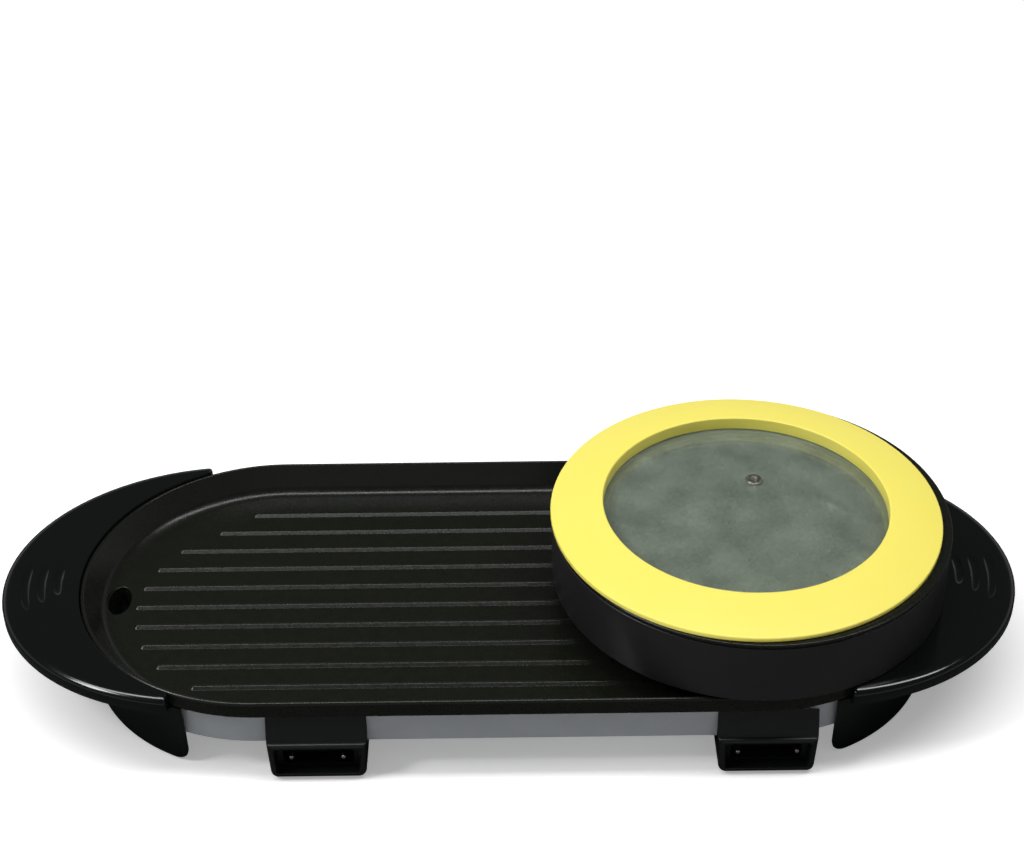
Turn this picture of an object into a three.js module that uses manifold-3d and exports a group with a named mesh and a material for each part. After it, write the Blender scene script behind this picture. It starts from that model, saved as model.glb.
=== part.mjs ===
// Countertop hot pot and grill in one: a long ribbed grill pan with a hot plate at its right end, on
// which a deep pot with a glazed lid stands. Two moulded ends are its handles and its legs.
// Millimetres. X runs along the pan, Y away from the sockets, Z up. The origin is on the table below
// the middle of the pan.
import * as THREE from "three";
import { mergeVertices } from "three/addons/utils/BufferGeometryUtils.js";
import Module from "manifold-3d";

const wasm = await Module();
wasm.setup();

// Driving dimensions

// Room that pieces leave each other
const seatGap = 0.3; // between a piece and what it rests on or is held by
const boreGap = 0.4; // round a screw, a pin or a post
const overrun = 1; // how far a cutter reaches past the face that it opens

// Grill pan, cast aluminium: two round ends joined by straight sides
const endSpacing = 313; // between the centres of the two round ends
const panRadius = 123.5; // outside of the rim
const rimHeight = 60; // top of the rim above the table
const rimSkirt = 11; // height of the rim's outer face
const rimLand = 2.6; // flat top of the rim
const rimBevel = 0.8;
const panDepth = 18.8; // from the rim down to the cooking floor
const wallRun = 8.4; // how far the sloping wall leans outwards
const floorEndInset = 3; // the floor stops this much shorter than the rim at each round end
const floorFillet = 4; // where the wall meets the floor
const castWall = 2.4;

// Cooking ribs
const ribCount = 10;
const ribPitch = 19.4;
const ribFoot = 6.4; // width at the floor
const ribCrest = 1.8; // width at the top
const ribCrestRound = 0.6;
const ribHeight = 2.4;
const ribArcInset = 36.5; // the left ends of the ribs follow an arc this much tighter than the rim
const ribArcShift = 0.5; // and this far to the right of the round end's centre
const ribArcCentreY = -9.7; // the arc lies a little towards the sockets
const ribArcShortest = 20; // a rib that misses the arc starts this far before its centre
const ribPotClearance = 6; // from the pot's foot to the right ends of the ribs

// Drain slot at the left end of the floor
const drainInset = 22.7; // from the rim to the slot's middle
const drainY = -2.5;
const drainHalfLength = 13.8; // half axes of the oval slot, along Y and along X
const drainHalfWidth = 7.5;
const spoutWall = 1.5;
const spoutCollar = 3; // the collar that stands on the base plate

// Hot plate below the pot
const hotPlateInset = 16.5; // the plate is this much smaller than the pot's foot
const hotPlateRise = 3; // above the cooking floor
const hotPlateFlange = 6; // reaches under the pan's floor
const hotPlateFlangeThickness = 2.4;
const hotPlateCollar = 3; // width of the raised edge round the opening in the floor
const hotPlateCollarRise = 1.4;
const hotPlatePostRadius = 4;
const hotPlatePostInset = 6; // from the plate's edge to the middle of a post
const hotPlatePostCount = 3;

// Hot pot
const potOverhang = 4.5; // the pot wall stands out this far beyond the pan's rim
const potRimHeight = 106.1; // top of the pot's rim above the table
const potRimThickness = 2.8;
const potRimRound = 0.8;
const potRimWidth = 9.5; // flat top of the rim
const potTaper = 21.5; // the inner pot's foot is this much smaller than the pot wall
const potFootFillet = 9;
const potCastWall = 2.8;
const potShellWall = 2.4;
const potShellLedge = 7.5; // inward edge that stands on the pan's rim

// Lid: a moulded ring that holds a glass
const lidInset = 2.9; // the lid is this much smaller than the pot wall
const lidShift = -3.8; // the lid lies this far to the left in its play
const lidPlay = 1.8;
const lidEdge = 3; // height of the lid's outer edge
const lidRise = 7.5; // from the outer edge up to the window
const lidBevel = 0.8;
const lidWall = 2.4;
const lidSkirt = 6; // depth of the locating skirt inside the pot
const lidRingWidth = 33.8; // from the lid's edge to the window
const windowDepth = 9; // from the ring's inner top edge down to the glass
const glassThickness = 4;
const glassDome = 6;
const glassHold = 5.7; // width of the glass's flat edge
const gasketWall = 2.2;
const gasketLip = 1.2;
const retainerThickness = 1.4;
const retainerInset = 2.5; // how far the retainer reaches inside the gasket

// Steam vent through the glass
const ventX = 8;
const ventY = 25;
const ventBore = 2.3;
const ventBarrel = 3.3;
const ventFlange = 5.4;
const ventFlangeThickness = 1.1;
const ventLift = 0.6; // clears the slope of the glass

// Moulded ends: a crescent handle with a leg wall below it
const overallLength = 662;
const handleHalfLength = 141; // half axis of the crescent's outer ellipse along X
const crescentInset = 1.5; // its half axis along Y is this much shorter than the rim's radius
const handleTop = 61.2;
const handleThickness = 10.5;
const handleSkin = 3.4;
const handleEdgeRound = 3;
const handleLowerBevel = 1;
const crescentTip = 52.5; // both tips end this far outwards of the round end's centre
const legTip = 44.5; // the leg wall reaches a little further towards the middle
const legTopInset = 0.2; // the leg wall's top is this much smaller than the rim
const legLean = 3.3; // its foot is this much smaller than its top
const legLift = 1; // the legs stop this high above the table, which the rubber feet meet
const legWall = 3;
const legTipRound = 10;
const shelfThickness = 2.5; // carries the pan's rim
const gripCount = 3;
const gripPitch = 10.5;
const gripInset = 15; // from the outer edge to the first groove
const gripY = -11.5; // the first groove's middle lies a little towards the sockets
const gripStagger = 3.25; // each further groove lies this much further from them
const gripHalfLength = 23.5; // of the first groove, along Y
const gripShortening = 4.25; // each further groove is this much shorter at each end
const gripRadius = 5;
const gripDepth = 1.1;
const archClearance = 6.5; // from the grease cup to the arch in the leg wall
const archRound = 6;
const stiffenerAngles = [-48, -24, 0, 24, 48]; // degrees, of the ribs under the crescent
const stiffenerWall = 1.8;
const stiffenerRise = 2.5; // how far they stay above the crescent's lower edge

// Feet and the bosses that take the handle screws
const footInset = 9.5; // from the foot of the leg wall to the middle of a rubber foot
const footAngle = 45; // degrees from the X axis
const bossRadius = 9;
const footRadius = 6.4;
const footThickness = 3;
const footBevel = 0.8;
const screwSeatDepth = 15; // from the foot's seat up to the screw head

// Base: sheet steel band, plate and reflector
const bandInset = 5.3; // the band is this much smaller than the pan's rim
const bandSheet = 1;
const bandBottom = 24.5; // lower edge above the table
const bandHeight = 20.5;
const plateSheet = 1.2;
const reflectorInset = 15.2; // the reflector is this much smaller than the band
const reflectorSheet = 1;
const reflectorRise = 4; // from the base plate up to the reflector's top

// Tubular heaters and their clips
const heaterRadius = 3.3;
const heaterBend = 8; // radius of the bends down to the pins
const heaterCorner = 14; // radius of the bends of the loop
const grillLoopEndInset = 48; // from the rim to the loop at the round end
const grillLoopSideInset = 61.5; // and along the straight sides
const grillLoopRight = 0;
const potLoopInset = 32; // the pot's loop is this much smaller than the hot plate
const potLoopOpening = 34; // degrees left open towards the socket on each side
const clipPlay = 0.6; // between a clip and the heater, which bends a little within its width
const clipSheet = 1;
const clipWidth = 9;
const clipTab = 7;
const clipX = [-180, -60];

// Pan screws
const panBossRadius = 5;
const panBossX = 60;
const panBossInset = 35.5; // from the rim

// Power sockets
const leftSocketShift = 37.7; // right of the left round end's centre
const rightSocketShift = 2; // right of the right round end's centre
const socketStandOut = 4.5; // the front faces stand out this far beyond the pan's rim
const socketWidth = 59;
const socketDepth = 49;
const socketBottom = 2;
const socketFaceTop = 29;
const socketCrown = 46.5; // where the sloping top meets the band
const socketCrownTaper = 1.5; // the crown's upper edge is narrower on each side
const socketCrownLand = 1.2; // thickness of that edge
const socketSideFlare = 4; // the crown's foot widens this much on each side up to the band
const socketRound = 4; // of the lower corners
const socketEdgeRound = 3; // of the upright front edges
const socketRecess = 8; // depth of the wide recess in front of the mouth
const socketRecessWall = 3.5; // beside the recess and below it
const socketRecessRoof = 3; // above it
const socketMouthWidth = 44;
const socketMouthBottom = 7.2;
const socketMouthTop = 22.2;
const socketRearWall = 2.5;
const pinHeight = 17.5;
const leftPinSpacing = 32.2;
const rightPinSpacing = 36.5;
const pinRadius = 1.8;
const pinInset = 1.5; // the tips stay behind the front face
const pinTipRound = 1;
const pinLength = 22;
const probeRadius = 3.4;
const probeBore = 2.2;
const probeLength = 14;
const probeTail = 3; // how far it stands out behind the terminal block
const blockThickness = 6;
const blockInset = 17; // from the front face to the terminal block

// Screws
const threadGap = 0.2; // round a shank in its thread
const screwShank = 1.9;
const screwHead = 3.7;
const screwHeadHeight = 2.2;
const screwHeadBevel = 0.6;
const nutRadius = 4;
const nutHeight = 2.6;
const panScrewLength = 12;
const socketScrewLength = 12;
const socketScrewInset = 36; // from the front face

// Grease cup and its runners
const cupLength = 50;
const cupHalfWidth = 26;
const cupBottom = 3;
const cupTop = 19.7;
const cupWall = 1.6;
const cupCorner = 6;
const cupFlange = 3;
const cupFlangeThickness = 1.8;
const cupTab = 7;
const cupTabHalfWidth = 12;
const runnerSheet = 1.5;
const runnerPlay = 0.5;
const runnerLength = 44;

// Facets of the round shapes
const endSteps = 20; // of one round end of the pan
const roundSteps = 2 * endSteps;
const ribEndSteps = 3;
const hiddenSteps = 28; // of rings that other pieces cover
const smallSteps = 10;
const drainSteps = 16;
const screwSteps = 6;
const hexSides = 6;
const tubeSides = 6;
const bendSteps = 3;
const archSteps = 5;
const potLoopSteps = 18;
const domeSteps = 3;
const gripSteps = 6;

// Heights and places that follow from the dimensions
const endX = endSpacing / 2;
const potX = endX;
const floorHeight = rimHeight - panDepth;
const ribArcRadius = panRadius - ribArcInset;
const ribArcCentreX = ribArcShift - endX;
const drainX = drainInset - endX - panRadius;
const potRadius = panRadius + potOverhang;
const potMouthRadius = potRadius - potRimWidth;
const potFootRadius = potRadius - potTaper;
const hotPlateRadius = potFootRadius - hotPlateInset;
const hotPlatePostCircle = hotPlateRadius - hotPlatePostInset;
const lidRadius = potRadius - lidInset;
const windowRadius = lidRadius - lidRingWidth;
const handleHalfDepth = panRadius - crescentInset;
const legTopRadius = panRadius - legTopInset;
const legFootRadius = legTopRadius - legLean;
const footCircle = legFootRadius - footInset; // about the centre of a round end
const bandRadius = panRadius - bandInset;
const reflectorRadius = bandRadius - reflectorInset;
const grillLoopLeft = grillLoopEndInset - endX - panRadius;
const grillLoopHalfDepth = panRadius - grillLoopSideInset;
const potLoopRadius = hotPlateRadius - potLoopInset;
const panBossY = panRadius - panBossInset;
const leftSocketX = leftSocketShift - endX;
const rightSocketX = rightSocketShift + endX;
const socketReach = panRadius + socketStandOut; // from the X axis to the front faces
const floorRadius = panRadius - rimLand - wallRun;
const panUnderside = floorHeight - castWall;
const plateBottom = bandBottom;
const plateTop = plateBottom + plateSheet;
const plateRadius = bandRadius - bandSheet - seatGap;
const reflectorTop = plateTop + reflectorRise;
const heaterHeight = panUnderside - seatGap - heaterRadius;
const hotPlateTop = floorHeight + hotPlateRise;
const potBottom = hotPlateTop + seatGap;
const shelfTop = rimHeight - rimSkirt - seatGap;
const shelfBottom = shelfTop - shelfThickness;
const bossTop = bandBottom - seatGap;
const lidX = potX + lidShift;
const lidSeat = potRimHeight + seatGap;
const socketRearY = -socketReach + socketDepth;
const riserY = socketRearY - socketRearWall - boreGap - heaterRadius;
const pinTailY = -socketReach + pinInset + pinLength;

// Finishes
const finishes = {
  nonstick: { color: 0x1c1c1a, roughness: 0.42, metalness: 0.1 },
  glossPlastic: { color: 0x101312, roughness: 0.22, metalness: 0 },
  blackPlastic: { color: 0x0f1212, roughness: 0.5, metalness: 0 },
  potPaint: { color: 0x201f21, roughness: 0.38, metalness: 0.1 },
  yellowPlastic: { color: 0xfdee6b, roughness: 0.35, metalness: 0 },
  glass: { color: 0x5f695f, roughness: 0.06, metalness: 0, transparent: true, opacity: 0.45 },
  sheetSteel: { color: 0x8f959c, roughness: 0.4, metalness: 1 },
  aluminium: { color: 0xb4b6b8, roughness: 0.45, metalness: 1 },
  heaterSteel: { color: 0x4a4845, roughness: 0.55, metalness: 0.8 },
  nickel: { color: 0xc9c7c0, roughness: 0.25, metalness: 1 },
  rubber: { color: 0x1a1a1a, roughness: 0.85, metalness: 0 },
  silicone: { color: 0x55585a, roughness: 0.7, metalness: 0 },
};

// Solids and booleans

// The closed mesh of a geometry as a solid, turned to face outwards.
function solid(geometry) {
  const bare = geometry.clone();
  bare.deleteAttribute("normal");
  bare.deleteAttribute("uv");
  const merged = mergeVertices(bare, 1e-4);
  const vertProperties = new Float32Array(merged.attributes.position.array);
  const triVerts = new Uint32Array(merged.index.array);
  const made = new wasm.Manifold(new wasm.Mesh({ numProp: 3, vertProperties, triVerts }));
  if (made.volume() > 0) return made;
  for (let i = 0; i < triVerts.length; i += 3) {
    [triVerts[i + 1], triVerts[i + 2]] = [triVerts[i + 2], triVerts[i + 1]];
  }
  return new wasm.Manifold(new wasm.Mesh({ numProp: 3, vertProperties, triVerts }));
}

function geometryOf(body) {
  const mesh = body.getMesh();
  const geometry = new THREE.BufferGeometry();
  geometry.setAttribute("position", new THREE.BufferAttribute(mesh.vertProperties, 3));
  geometry.setIndex(new THREE.BufferAttribute(mesh.triVerts, 1));
  const faceted = geometry.toNonIndexed();
  faceted.computeVertexNormals();
  return faceted;
}

function join(first, ...others) {
  return others.reduce((sum, other) => sum.add(other), first);
}

function cut(first, ...others) {
  return others.reduce((rest, other) => rest.subtract(other), first);
}

// Shapes

// Points of an outline that is two half circles joined by straight sides along X, counterclockwise.
function stadium(halfStraight, radius, steps = endSteps) {
  const points = [];
  for (const side of [1, -1]) {
    for (let i = 0; i <= steps; i++) {
      const angle = (side > 0 ? -Math.PI / 2 : Math.PI / 2) + (Math.PI * i) / steps;
      points.push([side * halfStraight + radius * Math.cos(angle), radius * Math.sin(angle)]);
    }
  }
  return points;
}

function shifted(outline, dx, dy) {
  return outline.map(([x, y]) => [x + dx, y + dy]);
}

function ellipse(halfX, halfY, steps = roundSteps) {
  return Array.from({ length: steps }, (_, i) => {
    const angle = (2 * Math.PI * i) / steps;
    return [halfX * Math.cos(angle), halfY * Math.sin(angle)];
  });
}

// A closed solid through convex outlines of as many points each, given from the lowest to the highest
// as { z, outline }.
function loft(levels) {
  const count = levels[0].outline.length;
  const positions = levels.flatMap(({ z, outline }) => outline.flatMap(([x, y]) => [x, y, z]));
  const index = [];
  for (let level = 0; level + 1 < levels.length; level++) {
    for (let i = 0; i < count; i++) {
      const a = level * count + i;
      const b = level * count + ((i + 1) % count);
      index.push(a, b, b + count, a, b + count, a + count);
    }
  }
  const last = (levels.length - 1) * count;
  for (let i = 1; i + 1 < count; i++) {
    index.push(0, i + 1, i, last, last + i, last + i + 1);
  }
  const geometry = new THREE.BufferGeometry();
  geometry.setAttribute("position", new THREE.Float32BufferAttribute(positions, 3));
  geometry.setIndex(index);
  return solid(geometry);
}

function prism(outline, bottom, top) {
  return loft([{ z: bottom, outline }, { z: top, outline }]);
}

function box(x0, x1, y0, y1, z0, z1) {
  const geometry = new THREE.BoxGeometry(x1 - x0, y1 - y0, z1 - z0);
  return solid(geometry.translate((x0 + x1) / 2, (y0 + y1) / 2, (z0 + z1) / 2));
}

// A body turned round the Z axis from a profile of [radius, height] points.
function turned(profile, { x = 0, y = 0, steps = roundSteps } = {}) {
  const points = profile.map(([radius, height]) => new THREE.Vector2(radius, height));
  const geometry = new THREE.LatheGeometry(points, steps);
  return solid(geometry.rotateX(Math.PI / 2).translate(x, y, 0));
}

// The same, with a profile that closes on itself away from the axis.
function turnedRing(profile, place) {
  return turned([...profile, profile[0]], place);
}

function post(x, y, radius, bottom, top, steps = smallSteps) {
  return turned([[0, bottom], [radius, bottom], [radius, top], [0, top]], { x, y, steps });
}

// Points of a rounded corner of a profile, from the direction angle to the next quarter turn.
function corner(centreX, centreY, radius, fromDegrees, turnDegrees = 90, steps = bendSteps) {
  return Array.from({ length: steps + 1 }, (_, i) => {
    const angle = THREE.MathUtils.degToRad(fromDegrees + (turnDegrees * i) / steps);
    return [centreX + radius * Math.cos(angle), centreY + radius * Math.sin(angle)];
  });
}

// A path through given points, which an extrusion follows with one step from each to the next.
class BentPath extends THREE.Curve {
  constructor(points) {
    super();
    this.points = points;
  }
  getPoint(t, target = new THREE.Vector3()) {
    const place = t * (this.points.length - 1);
    const first = Math.min(Math.floor(place), this.points.length - 2);
    return target.lerpVectors(this.points[first], this.points[first + 1], place - first);
  }
  getUtoTmapping(u) {
    return u;
  }
}

// The points of a route with each of its corners rounded; a corner's radius is its point's w.
function rounded(route) {
  const points = [route[0]];
  for (let i = 1; i + 1 < route.length; i++) {
    const here = route[i];
    const back = new THREE.Vector3().subVectors(route[i - 1], here).normalize();
    const on = new THREE.Vector3().subVectors(route[i + 1], here).normalize();
    const half = back.angleTo(on) / 2;
    const bend = here.bend ?? 0;
    if (bend === 0) {
      points.push(here);
      continue;
    }
    const middle = new THREE.Vector3().addVectors(back, on).normalize();
    const centre = middle.clone().multiplyScalar(bend / Math.sin(half)).add(here);
    const from = back.clone().multiplyScalar(bend / Math.tan(half)).add(here).sub(centre);
    const to = on.clone().multiplyScalar(bend / Math.tan(half)).add(here).sub(centre);
    const sweep = from.angleTo(to);
    for (let step = 0; step <= bendSteps; step++) {
      const share = step / bendSteps;
      const point = from.clone().multiplyScalar(Math.sin((1 - share) * sweep) / Math.sin(sweep));
      point.addScaledVector(to, Math.sin(share * sweep) / Math.sin(sweep));
      points.push(point.add(centre));
    }
  }
  points.push(route[route.length - 1]);
  return points;
}

function stop(x, y, z, bend = 0) {
  const point = new THREE.Vector3(x, y, z);
  point.bend = bend;
  return point;
}

// A round bar along a route.
function bar(points, radius, sides = tubeSides) {
  const section = new THREE.Shape(ellipse(radius, radius, sides).map(([x, y]) => new THREE.Vector2(x, y)));
  const extrudePath = new BentPath(points);
  return solid(new THREE.ExtrudeGeometry(section, { steps: points.length - 1, extrudePath }));
}

// A plate or bar of one outline in the plane of Y and Z, from x0 to x1.
function alongX(outline, x0, x1) {
  const shape = new THREE.Shape(outline.map(([y, z]) => new THREE.Vector2(y, z)));
  const geometry = new THREE.ExtrudeGeometry(shape, { depth: x1 - x0, bevelEnabled: false });
  geometry.rotateX(Math.PI / 2).rotateZ(Math.PI / 2);
  return solid(geometry.translate(x0, 0, 0));
}

// The same for an outline in the plane of X and Z, from y0 to y1.
function alongY(outline, y0, y1) {
  const shape = new THREE.Shape(outline.map(([x, z]) => new THREE.Vector2(x, z)));
  const geometry = new THREE.ExtrudeGeometry(shape, { depth: y1 - y0, bevelEnabled: false });
  return solid(geometry.rotateX(Math.PI / 2).translate(0, y1, 0));
}

// Grill pan

const wallAngle = Math.atan2(panDepth, wallRun);

// The space inside the pan, or with a thickness the outside of its casting, from the floor up to a
// height above it. A fillet leads from the floor into the sloping wall.
function bowl(thickness, top) {
  const centre = floorRadius - floorFillet / Math.tan((Math.PI - wallAngle) / 2);
  const sweep = THREE.MathUtils.radToDeg(wallAngle);
  const profile = corner(centre, floorFillet, floorFillet + thickness, -90, sweep);
  profile.push([floorRadius + (wallRun * top) / panDepth + thickness / Math.sin(wallAngle), top]);
  return loft(
    profile.map(([radius, rise]) => {
      const inset = floorEndInset * (1 - THREE.MathUtils.clamp(rise / panDepth, 0, 1));
      return { z: floorHeight + rise, outline: stadium(endX - inset, radius) };
    }),
  );
}

// The turned-down rim, open underneath.
function rim() {
  const outside = loft([
    { z: rimHeight - rimSkirt, outline: stadium(endX, panRadius) },
    { z: rimHeight - rimBevel, outline: stadium(endX, panRadius) },
    { z: rimHeight, outline: stadium(endX, panRadius - rimBevel) },
  ]);
  const inside = stadium(endX, panRadius - castWall);
  return cut(outside, prism(inside, rimHeight - rimSkirt - overrun, rimHeight - castWall));
}

// One rib along X, with rounded ends. Its left end lies on the arc and its right end stays clear of
// the pot's foot.
function rib(y) {
  const reach = ribArcRadius ** 2 - (y - ribArcCentreY) ** 2;
  const left = ribArcCentreX - Math.sqrt(Math.max(reach, ribArcShortest ** 2));
  const potSide = (potFootRadius + ribPotClearance) ** 2 - y ** 2;
  const right = potX - Math.sqrt(Math.max(potSide, 0));
  const halfStraight = (right - left) / 2 - ribFoot / 2;
  const at = (z, width) => ({
    z,
    outline: shifted(stadium(halfStraight, width / 2, ribEndSteps), (left + right) / 2, y),
  });
  return loft([
    at(floorHeight - castWall / 2, ribFoot),
    at(floorHeight, ribFoot),
    at(floorHeight + ribHeight - ribCrestRound, ribCrest),
    at(floorHeight + ribHeight, ribCrest - ribCrestRound),
  ]);
}

function drainOutline(outward) {
  const outline = ellipse(drainHalfWidth + outward, drainHalfLength + outward, drainSteps);
  return shifted(outline, drainX, drainY);
}

const panBosses = [-1, 1].flatMap((side) => [-1, 1].map((end) => [end * panBossX, side * panBossY]));

function grillPan() {
  let pan = cut(join(bowl(castWall, panDepth - castWall / 2), rim()), bowl(0, panDepth + overrun));
  for (let i = 0; i < ribCount; i++) {
    pan = join(pan, rib(ribPitch * (i - (ribCount - 1) / 2)));
  }
  const collar = hotPlateRadius + boreGap + hotPlateCollar;
  pan = join(pan, post(potX, 0, collar, panUnderside, floorHeight + hotPlateCollarRise, hiddenSteps));
  for (const [x, y] of panBosses) {
    pan = join(pan, post(x, y, panBossRadius, plateTop + seatGap, floorHeight - castWall / 2));
    const holeTop = plateBottom + panScrewLength;
    pan = cut(pan, post(x, y, screwShank + threadGap, plateTop, holeTop, screwSteps));
  }
  const opening = post(potX, 0, hotPlateRadius + boreGap, panUnderside - overrun, hotPlateTop, hiddenSteps);
  return cut(pan, opening, prism(drainOutline(0), panUnderside - overrun, rimHeight));
}

// Hot plate with a flange below the pan's floor, on posts that stand on the base plate.
function hotPlatePosts(radius, bottom, top) {
  return Array.from({ length: hotPlatePostCount }, (_, i) => {
    const angle = Math.PI / 2 + (2 * Math.PI * i) / hotPlatePostCount;
    const x = potX + hotPlatePostCircle * Math.cos(angle);
    return post(x, hotPlatePostCircle * Math.sin(angle), radius, bottom, top, screwSteps);
  });
}

function hotPlate() {
  const flangeTop = panUnderside - seatGap;
  const flangeBottom = flangeTop - hotPlateFlangeThickness;
  const flangeRadius = hotPlateRadius + hotPlateFlange;
  const plate = turned(
    [
      [0, panUnderside],
      [hotPlateRadius - hotPlateFlange, panUnderside],
      [hotPlateRadius - hotPlateFlange, flangeBottom],
      [flangeRadius, flangeBottom],
      [flangeRadius, flangeTop],
      [hotPlateRadius, flangeTop],
      [hotPlateRadius, hotPlateTop - rimBevel],
      [hotPlateRadius - rimBevel, hotPlateTop],
      [0, hotPlateTop],
    ],
    { x: potX, steps: hiddenSteps },
  );
  const posts = hotPlatePosts(hotPlatePostRadius, plateTop + seatGap, panUnderside + seatGap);
  const heaterNotch = box(
    rightSocketX - socketMouthWidth / 2,
    rightSocketX + socketMouthWidth / 2,
    -flangeRadius - overrun,
    -potLoopRadius,
    flangeBottom - overrun,
    panUnderside,
  );
  return join(cut(plate, heaterNotch), ...posts);
}

// Hot pot

const potRimUnderside = potRimHeight - potRimThickness;

// The cast inner pot: a flat bottom, a filleted foot, a wall that widens upwards and a wide flat rim.
function potInner() {
  const footTop = potBottom + potFootFillet;
  const centre = potFootRadius - potFootFillet;
  return turned([
    [0, potBottom],
    ...corner(centre, footTop, potFootFillet, -90),
    [potMouthRadius + potCastWall, potRimUnderside],
    [potRadius - potRimRound, potRimUnderside],
    [potRadius, potRimUnderside + potRimRound],
    [potRadius, potRimHeight - potRimRound],
    [potRadius - potRimRound, potRimHeight],
    [potMouthRadius + potRimRound, potRimHeight],
    [potMouthRadius, potRimHeight - potRimRound],
    [potMouthRadius, potRimUnderside],
    ...corner(centre, footTop, potFootFillet - potCastWall, 0, -90),
    [0, potBottom + potCastWall],
  ], { x: potX });
}

// The outer wall, which carries the inner pot's rim. It stands on the pan's rim with a foot that keeps
// its full width just above the handle.
function potShell() {
  const foot = rimHeight + seatGap;
  const bottom = handleTop + seatGap;
  const top = potRimUnderside - seatGap;
  const ledge = potRadius - potShellLedge;
  return turnedRing([
    [ledge, foot],
    [panRadius - rimBevel, foot],
    [panRadius - rimBevel, bottom],
    [potRadius - potRimRound, bottom],
    [potRadius, bottom + potRimRound],
    [potRadius, top],
    [potRadius - potShellWall, top],
    [potRadius - potShellWall, bottom + potShellWall],
    [ledge, bottom + potShellWall],
  ], { x: potX });
}

// Lid, in heights above its seat on the pot's rim

const lidSkirtRadius = potMouthRadius - Math.abs(lidShift) - lidPlay;
const glassTop = lidEdge + lidRise - windowDepth - seatGap;
const glassRadius = windowRadius + glassHold;
const gasketBottom = glassTop - glassThickness - seatGap - gasketLip;

function lidTopAt(radius) {
  return lidEdge + (lidRise * (lidRadius - radius)) / (lidRadius - windowRadius);
}

// A conical top, a deep inner wall down to the glass and a skirt that locates the lid in the pot.
function lidRing() {
  const slopedWall = lidWall * Math.hypot(1, lidRise / (lidRadius - windowRadius));
  const under = (radius) => [radius, lidTopAt(radius) - slopedWall];
  return turnedRing([
    [lidSkirtRadius, 0],
    [lidRadius, 0],
    [lidRadius, lidEdge - lidBevel],
    [lidRadius - lidBevel, lidTopAt(lidRadius - lidBevel)],
    [windowRadius + lidBevel, lidTopAt(windowRadius + lidBevel)],
    [windowRadius, lidTopAt(windowRadius) - lidBevel],
    [windowRadius, glassTop + seatGap],
    [windowRadius + lidWall, glassTop + seatGap],
    under(windowRadius + lidWall),
    under(lidSkirtRadius - lidWall),
    [lidSkirtRadius - lidWall, -lidSkirt],
    [lidSkirtRadius, -lidSkirt],
  ]);
}

function glassHeightAt(radius) {
  return glassTop + glassDome * (1 - Math.min(radius / windowRadius, 1) ** 2);
}

// A dome with a flat edge, drilled for the vent.
function lidGlass() {
  const dome = Array.from({ length: domeSteps + 1 }, (_, i) => {
    const radius = (windowRadius * i) / domeSteps;
    return [radius, glassHeightAt(radius)];
  });
  const glass = turned([
    ...dome.map(([radius, height]) => [radius, height - glassThickness]),
    [glassRadius, glassTop - glassThickness],
    [glassRadius, glassTop],
    ...dome.reverse(),
  ], { steps: hiddenSteps });
  const top = glassTop + glassDome + overrun;
  return cut(glass, post(ventX, ventY, ventBarrel + boreGap, gasketBottom, top, smallSteps));
}

function lidGasket() {
  const inside = glassRadius + seatGap;
  return turnedRing([
    [windowRadius, gasketBottom],
    [inside + gasketWall, gasketBottom],
    [inside + gasketWall, glassTop],
    [inside, glassTop],
    [inside, gasketBottom + gasketLip],
    [windowRadius, gasketBottom + gasketLip],
  ], { steps: hiddenSteps });
}

function lidRetainer() {
  const top = gasketBottom - seatGap;
  const outside = lidSkirtRadius - lidWall - seatGap;
  return turnedRing([
    [windowRadius - retainerInset, top - retainerThickness],
    [outside, top - retainerThickness],
    [outside, top],
    [windowRadius - retainerInset, top],
  ]);
}

function steamVent() {
  const flange = glassHeightAt(Math.hypot(ventX, ventY)) + ventLift;
  const bottom = flange - ventLift - glassThickness - ventFlangeThickness;
  return turnedRing([
    [ventBore, bottom],
    [ventBarrel, bottom],
    [ventBarrel, flange],
    [ventFlange, flange],
    [ventFlange, flange + ventFlangeThickness],
    [ventBore, flange + ventFlangeThickness],
  ], { x: ventX, y: ventY, steps: smallSteps });
}

// Moulded ends, drawn for the left end about the centre of the pan's round end

const tipX = -crescentTip;
const legTipX = -legTip;
const crescentX = endX + handleHalfLength - overallLength / 2;
const handleBottom = handleTop - handleThickness;
const innerWallRadius = panRadius + seatGap + handleSkin;
const everywhere = overallLength; // reaches past the whole end in each direction

function legRadiusAt(height) {
  return legFootRadius + ((legTopRadius - legFootRadius) * (height - legLift)) / (shelfTop - legLift);
}

function crescentOutline(inset) {
  return shifted(ellipse(handleHalfLength - inset, handleHalfDepth - inset), crescentX, 0);
}

// What lies inwards of a plane across X.
function past(x) {
  return box(x, everywhere, -everywhere, everywhere, -everywhere, everywhere);
}

// The crescent handle: rounded at its upper edge, hollow and ribbed underneath.
function crescent() {
  const edge = corner(handleEdgeRound, handleTop - handleEdgeRound, handleEdgeRound, 180, -90);
  const body = loft([
    { z: handleBottom, outline: crescentOutline(handleLowerBevel) },
    { z: handleBottom + handleLowerBevel, outline: crescentOutline(0) },
    ...edge.map(([inset, z]) => ({ z, outline: crescentOutline(inset) })),
  ]);
  const pocketTop = handleTop - handleSkin;
  let pocket = prism(crescentOutline(handleSkin), handleBottom - overrun, pocketTop);
  pocket = cut(pocket, post(0, 0, innerWallRadius, -overrun, rimHeight, roundSteps), past(tipX - handleSkin));
  for (const degrees of stiffenerAngles) {
    const stiffener = new THREE.BoxGeometry(everywhere, stiffenerWall, handleThickness);
    stiffener.translate(-everywhere / 2, 0, handleBottom + stiffenerRise + handleThickness / 2);
    pocket = cut(pocket, solid(stiffener.rotateZ(THREE.MathUtils.degToRad(degrees))));
  }
  return cut(body, pocket, past(tipX));
}

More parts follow.
